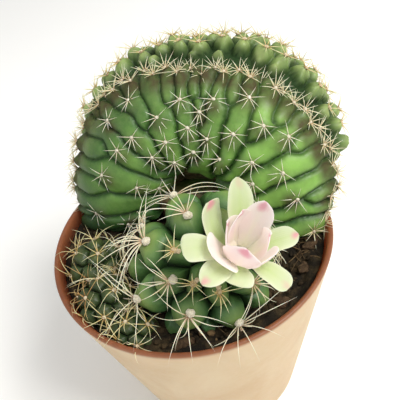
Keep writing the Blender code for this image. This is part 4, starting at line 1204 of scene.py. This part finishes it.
def build_mix(m_soil, m_chip):
    rows, cols = 95, 260
    rim = pot_inner_r(SOIL_TOP) - 0.12
    r = rim * (np.linspace(1.0, 0.004, rows))
    ang = np.arange(cols) * 2 * math.pi / cols
    X, Y = r[:, None] * np.cos(ang)[None], r[:, None] * np.sin(ang)[None]
    P = np.stack([X, Y, mix_height(X, Y)], -1)
    crumbs = fractal(P * np.array([1, 1, 0]), 2.6, 91, 4, 0.62)
    P[..., 2] += 0.75 * crumbs * smoothstep(0.0, 1.0, (rim - r) / 1.2)[:, None] - 0.1
    P[..., 2] += (0.9 * smoothstep(rim - 5.5, rim - 1.0, r))[:, None]
    wall_z = np.array([POT_FLOOR + 0.35, POT_FLOOR + 1.6, 14.0, 26.0, 38.0, SOIL_TOP - 1.5])
    wall = []
    for z in wall_z:
        rr = pot_inner_r(z) - 0.35 if z > POT_FLOOR + 1.0 else pot_inner_r(z) - 1.7
        wall.append(np.stack([rr * np.cos(ang), rr * np.sin(ang), np.full(cols, z)], -1))
    full = np.concatenate([np.array(wall), P])
    v, f = capped(len(full), cols, full)
    make_piece("potting_mix_bed", v, f, m_soil, dict(tone=np.zeros(len(v))), ("potting_mix",))

    soup = Soup()
    rng = np.random.default_rng(23)
    n = 0
    while n < 900:
        rr = rim * math.sqrt(rng.random()) * 0.985
        a = rng.uniform(0, 2 * math.pi)
        x, y = rr * math.cos(a), rr * math.sin(a)
        size = float(np.clip(rng.lognormal(-0.55, 0.45), 0.28, 1.7))
        z = float(mix_height(np.array(x), np.array(y))) + rng.uniform(-0.25, 0.5)
        if rr + size > rim:
            continue
        turn = rng.uniform(0, 3.14)
        f3 = np.array([[math.cos(turn), math.sin(turn), rng.uniform(-0.5, 0.5)], [-math.sin(turn), math.cos(turn), rng.uniform(-0.5, 0.5)], [0, 0, 1.0]])
        f3 = np.array([unit(f3[0]), unit(np.cross(f3[2], unit(f3[0]))), unit(np.cross(unit(f3[0]), unit(np.cross(f3[2], unit(f3[0])))))])
        tone = 0.9 if rng.random() < 0.10 else rng.uniform(0, 0.25)
        blob(soup, (x, y, z), (size, size * rng.uniform(0.45, 0.9), size * rng.uniform(0.4, 0.75)), f3, n, 0.35, 5, 8, tone=tone)
        n += 1
    # fine dry fibres, most of them at the fan's right foot
    for k in range(110):
        rr = rim * math.sqrt(rng.random()) * 0.93
        a = rng.uniform(0, 2 * math.pi)
        x, y = rr * math.cos(a), rr * math.sin(a)
        if k >= 70:
            x, y = 24.6 + rng.normal(0, 1.7), -9.6 + rng.normal(0, 2.2)
        z = float(mix_height(np.array(x), np.array(y))) + 0.5
        d = unit(np.array([rng.uniform(-1, 1), rng.uniform(-1, 1), rng.uniform(-0.1, 0.2)]))
        s = np.linspace(0, 1, 7)[:, None]
        ln = rng.uniform(2.0, 5.0)
        bend = np.array([rng.uniform(-0.4, 0.4), rng.uniform(-0.4, 0.4), -0.1])
        path = np.array([x, y, z]) + d * ln * s + bend * ln * s ** 2
        q = np.hypot(path[:, 0], path[:, 1])
        if q.max() > rim - 0.3:
            continue
        v, f, _ = tube_along(path, np.full(7, rng.uniform(0.07, 0.14)), 5)
        soup.add(v, f, tone=rng.uniform(0.4, 1.0))
    soup.piece("potting_mix_crumbs", m_soil, "potting_mix")

    chips = (((26.0, -9.6), 1.7, 20.0), ((22.6, -15.2), 1.5, 75.0), ((15.5, -22.6), 1.6, 140.0), ((-5.4, -27.2), 1.7, 10.0))
    for k, ((x, y), size, turn) in enumerate(chips):
        rows, cols = 22, 40
        t = math.radians(turn)
        z0 = max(float(mix_height(np.array(x + dx), np.array(y + dy))) for dx in (-2, 0, 2) for dy in (-2, 0, 2)) + 0.35
        hh = np.linspace(0, 1, rows)
        share = np.interp(hh, (0, 0.35, 0.75, 1), (0.75, 1.0, 0.92, 0.5))
        ang = np.arange(cols) * 2 * math.pi / cols
        rad = size * share[:, None] * (1.0 + 0.18 * np.sin(3 * ang + k) + 0.1 * np.cos(2 * ang + 2 * k))[None]
        px, py = rad * np.cos(ang), 0.62 * rad * np.sin(ang)
        P = np.stack([x + px * math.cos(t) - py * math.sin(t), y + px * math.sin(t) + py * math.cos(t),
                      z0 + 0.95 * hh[:, None] + 0 * px], -1)
        out = unit(P - np.array([x, y, z0 + 0.45]))
        P = P + out * (0.75 * fractal(P, 1.9, 7 + k, 3))[..., None]
        v, f = capped(rows, cols, P)
        make_piece("bark_chip_%d_grain" % (k + 1), v, f, m_chip, {}, ("bark_chip_%d" % (k + 1),))


def build_pot(m_pot):
    cols = 160
    slope = (POT_TOP_R - POT_BASE_R) / POT_HEIGHT
    prof = [(POT_BASE_R - 1.2, 0.0, 0), (POT_BASE_R - 0.7, 0.06, 0), (POT_BASE_R - 0.3, 0.35, 0), (POT_BASE_R + slope * 0.8 - 0.02, 0.8, 0),
            (POT_BASE_R + slope * 1.4, 1.4, 0)]
    for z in np.linspace(3.0, POT_HEIGHT - 0.9, 34):
        prof.append((POT_BASE_R + slope * z, z, 0))
    prof += [(POT_TOP_R - 0.10, POT_HEIGHT - 0.42, 0.3), (POT_TOP_R - 0.22, POT_HEIGHT - 0.18, 0.7), (POT_TOP_R - 0.42, POT_HEIGHT - 0.04, 1),
             (POT_TOP_R - 0.7, POT_HEIGHT, 1), (POT_TOP_R - 0.98, POT_HEIGHT - 0.05, 1), (POT_TOP_R - 1.2, POT_HEIGHT - 0.22, 1),
             (POT_TOP_R - 1.38, POT_HEIGHT - 0.5, 1)]
    for z in np.linspace(POT_HEIGHT - 1.5, POT_FLOOR + 1.4, 22):
        prof.append((float(pot_inner_r(z)), z, 1))
    prof += [(float(pot_inner_r(POT_FLOOR)) - 0.25, POT_FLOOR + 0.5, 1), (float(pot_inner_r(POT_FLOOR)) - 0.9, POT_FLOOR, 1)]
    ang = np.arange(cols) * 2 * math.pi / cols
    rings = np.array([[(r * math.cos(a), r * math.sin(a), z) for a in ang] for r, z, _ in prof])
    v, f = capped(len(prof), cols, rings)
    inner = np.concatenate([np.repeat([p[2] for p in prof], cols), [0, 1]])
    pot = make_piece("nursery_pot", v, f, m_pot, dict(inner=inner), ("pot",))
    for k in range(4):
        a = math.radians(45) + k * math.pi / 2
        c = (13.0 * math.cos(a), 13.0 * math.sin(a))
        ring = lambda z: [(c[0] + 2.5 * math.cos(t), c[1] + 2.5 * math.sin(t), z) for t in np.arange(40) * math.pi / 20]
        v, f = capped(2, 40, [ring(-2.0), ring(POT_FLOOR + 2.0)])
        mesh = bpy.data.meshes.new("hole")
        mesh.from_pydata((v * MM).tolist(), [], [tuple(int(i) for i in q) for q in f])
        bm = bmesh.new()
        bm.from_mesh(mesh)
        bmesh.ops.recalc_face_normals(bm, faces=bm.faces)
        bm.to_mesh(mesh)
        bm.free()
        cutter = bpy.data.objects.new("hole", mesh)
        bpy.context.scene.collection.objects.link(cutter)
        mod = pot.modifiers.new("hole", "BOOLEAN")
        mod.operation, mod.solver, mod.object = "DIFFERENCE", "EXACT", cutter
        deps = bpy.context.evaluated_depsgraph_get()
        made = bpy.data.meshes.new_from_object(pot.evaluated_get(deps), depsgraph=deps)
        pot.modifiers.remove(mod)
        made.materials.clear()
        made.materials.append(m_pot)
        for poly in made.polygons:
            poly.material_index = 0
        pot.data = made
        bpy.data.objects.remove(cutter, do_unlink=True)
    pot.data.shade_smooth()
    pot.data.set_sharp_from_angle(angle=math.radians(35))


# =====================================================================================================
# stage, light and camera
# =====================================================================================================
def build_stage():
    n = 24
    verts, faces = [], []
    size = 1.6
    for i in range(n + 1):
        for j in range(n + 1):
            verts.append((size * (i / n - 0.5), size * (j / n - 0.5), 0.0))
    for i in range(n):
        for j in range(n):
            a = i * (n + 1) + j
            faces.append((a, a + n + 1, a + n + 2, a + 1))
    mesh = bpy.data.meshes.new("floor")
    mesh.from_pydata(verts, [], faces)
    floor = bpy.data.objects.new("floor", mesh)
    bpy.context.scene.collection.objects.link(floor)
    m = Shade("floor_shade")
    m.set(color=m.mix(m.span(m.noise(6.0), 0.3, 0.7), lin((246, 246, 244)), lin((250, 250, 249))), rough=0.85, spec=0.1)
    mesh.materials.append(m.mat)


def area_light(name, location, target, size, power, color=(1, 1, 1)):
    data = bpy.data.lights.new(name, "AREA")
    data.shape = "SQUARE"
    data.size = size
    data.energy = power
    data.color = color
    obj = bpy.data.objects.new(name, data)
    bpy.context.scene.collection.objects.link(obj)
    obj.location = location
    direction = Vector(target) - Vector(location)
    obj.rotation_euler = direction.to_track_quat("-Z", "Y").to_euler()
    return obj


def build_light_and_camera():
    world = bpy.data.worlds.new("studio")
    bpy.context.scene.world = world
    world.use_nodes = True
    bg = world.node_tree.nodes["Background"]
    bg.inputs["Color"].default_value = (1.0, 0.995, 0.985, 1.0)
    bg.inputs["Strength"].default_value = 0.60
    area_light("key", (0.27, -0.14, 0.47), (0.0, 0.0, 0.055), 0.26, 3.1, (1.0, 0.985, 0.95))
    area_light("fill", (-0.42, -0.30, 0.35), (0.0, 0.0, 0.06), 0.40, 0.7, (0.97, 0.99, 1.0))
    cam_data = bpy.data.cameras.new("camera")
    cam_data.lens = 50.4
    cam_data.sensor_width = 36.0
    cam_data.sensor_fit = "HORIZONTAL"
    cam_data.clip_start = 0.01
    cam = bpy.data.objects.new("camera", cam_data)
    bpy.context.scene.collection.objects.link(cam)
    e, roll = math.radians(43.0), math.radians(-12.5)
    back = np.array([0, -math.cos(e), math.sin(e)])
    right0 = unit(np.cross(np.array([0, 0, 1.0]), back))
    up0 = np.cross(back, right0)
    right = math.cos(roll) * right0 + math.sin(roll) * up0
    up = -math.sin(roll) * right0 + math.cos(roll) * up0
    # the rim's centre stands 130 mm in front of the lens, 10 px left of and 32 px below the picture's middle
    off = np.array([-10.0 / 560.0 * 130.0, -32.0 / 560.0 * 130.0, -130.0])
    centre = np.array([0, 0, POT_HEIGHT]) - (off[0] * right + off[1] * up + off[2] * back)
    M = Matrix.Identity(4)
    for i in range(3):
        M[i][0], M[i][1], M[i][2], M[i][3] = right[i], up[i], back[i], centre[i] * MM
    cam.matrix_world = M
    bpy.context.scene.camera = cam
    bpy.context.scene.view_settings.view_transform = "Standard"
    bpy.context.scene.view_settings.look = "None"


# =====================================================================================================
# assembly
# =====================================================================================================
# each skin's third colour is a painted cool shade and its sixth the painted dark of the creases
CREST = skin_material("crest_skin_shade", (61, 101, 33), (43, 78, 23), (36, 79, 42), (66, 56, 34), (150, 166, 102), (20, 46, 12),
                      (128, 170, 78))
HEAD = skin_material("head_skin_shade", (90, 134, 66), (56, 99, 52), (40, 80, 48), (94, 84, 46), (140, 160, 98), (10, 26, 12),
                     (142, 160, 84))
# the offsets' skin is a darker olive than the head's: partly their own colour, partly painted shade low beside the fan
OFFSET = skin_material("offset_skin_shade", (52, 74, 28), (33, 53, 19), (25, 46, 21), (70, 56, 32), (112, 112, 70), (9, 12, 6),
                       (110, 120, 60))
SPINE = spine_material()
WOOL = wool_material()

fan_spines, fan_wool = Soup(), Soup()
build_fan(CREST, fan_spines, fan_wool)
build_fan_base(CREST)
fan_spines.piece("crest_spines", SPINE, "spine")
fan_wool.piece("crest_areoles", WOOL, "areole_wool")

for spec in HEADS:
    spines, wool = Soup(), Soup()
    build_head(spec, HEAD if spec["big"] else OFFSET, spines, wool)
    spines.piece(spec["name"] + "_spines", SPINE, "spine")
    wool.piece(spec["name"] + "_wool", WOOL, "areole_wool")

build_flower(petal_material("petal_shade", (212, 222, 182), (194, 215, 138), (230, 160, 172), (230, 233, 208), 0.95, 0.52, 0.80, (253, 254, 246)),
             petal_material("inner_petal_shade", (253, 241, 240), (254, 252, 234), (228, 146, 172), (255, 252, 251), 0.92, 0.60, 0.4,
                            (255, 249, 247)),
             tube_material(), stamen_material())
build_mix(soil_material(), chip_material())
build_pot(pot_material())
build_stage()
build_light_and_camera()
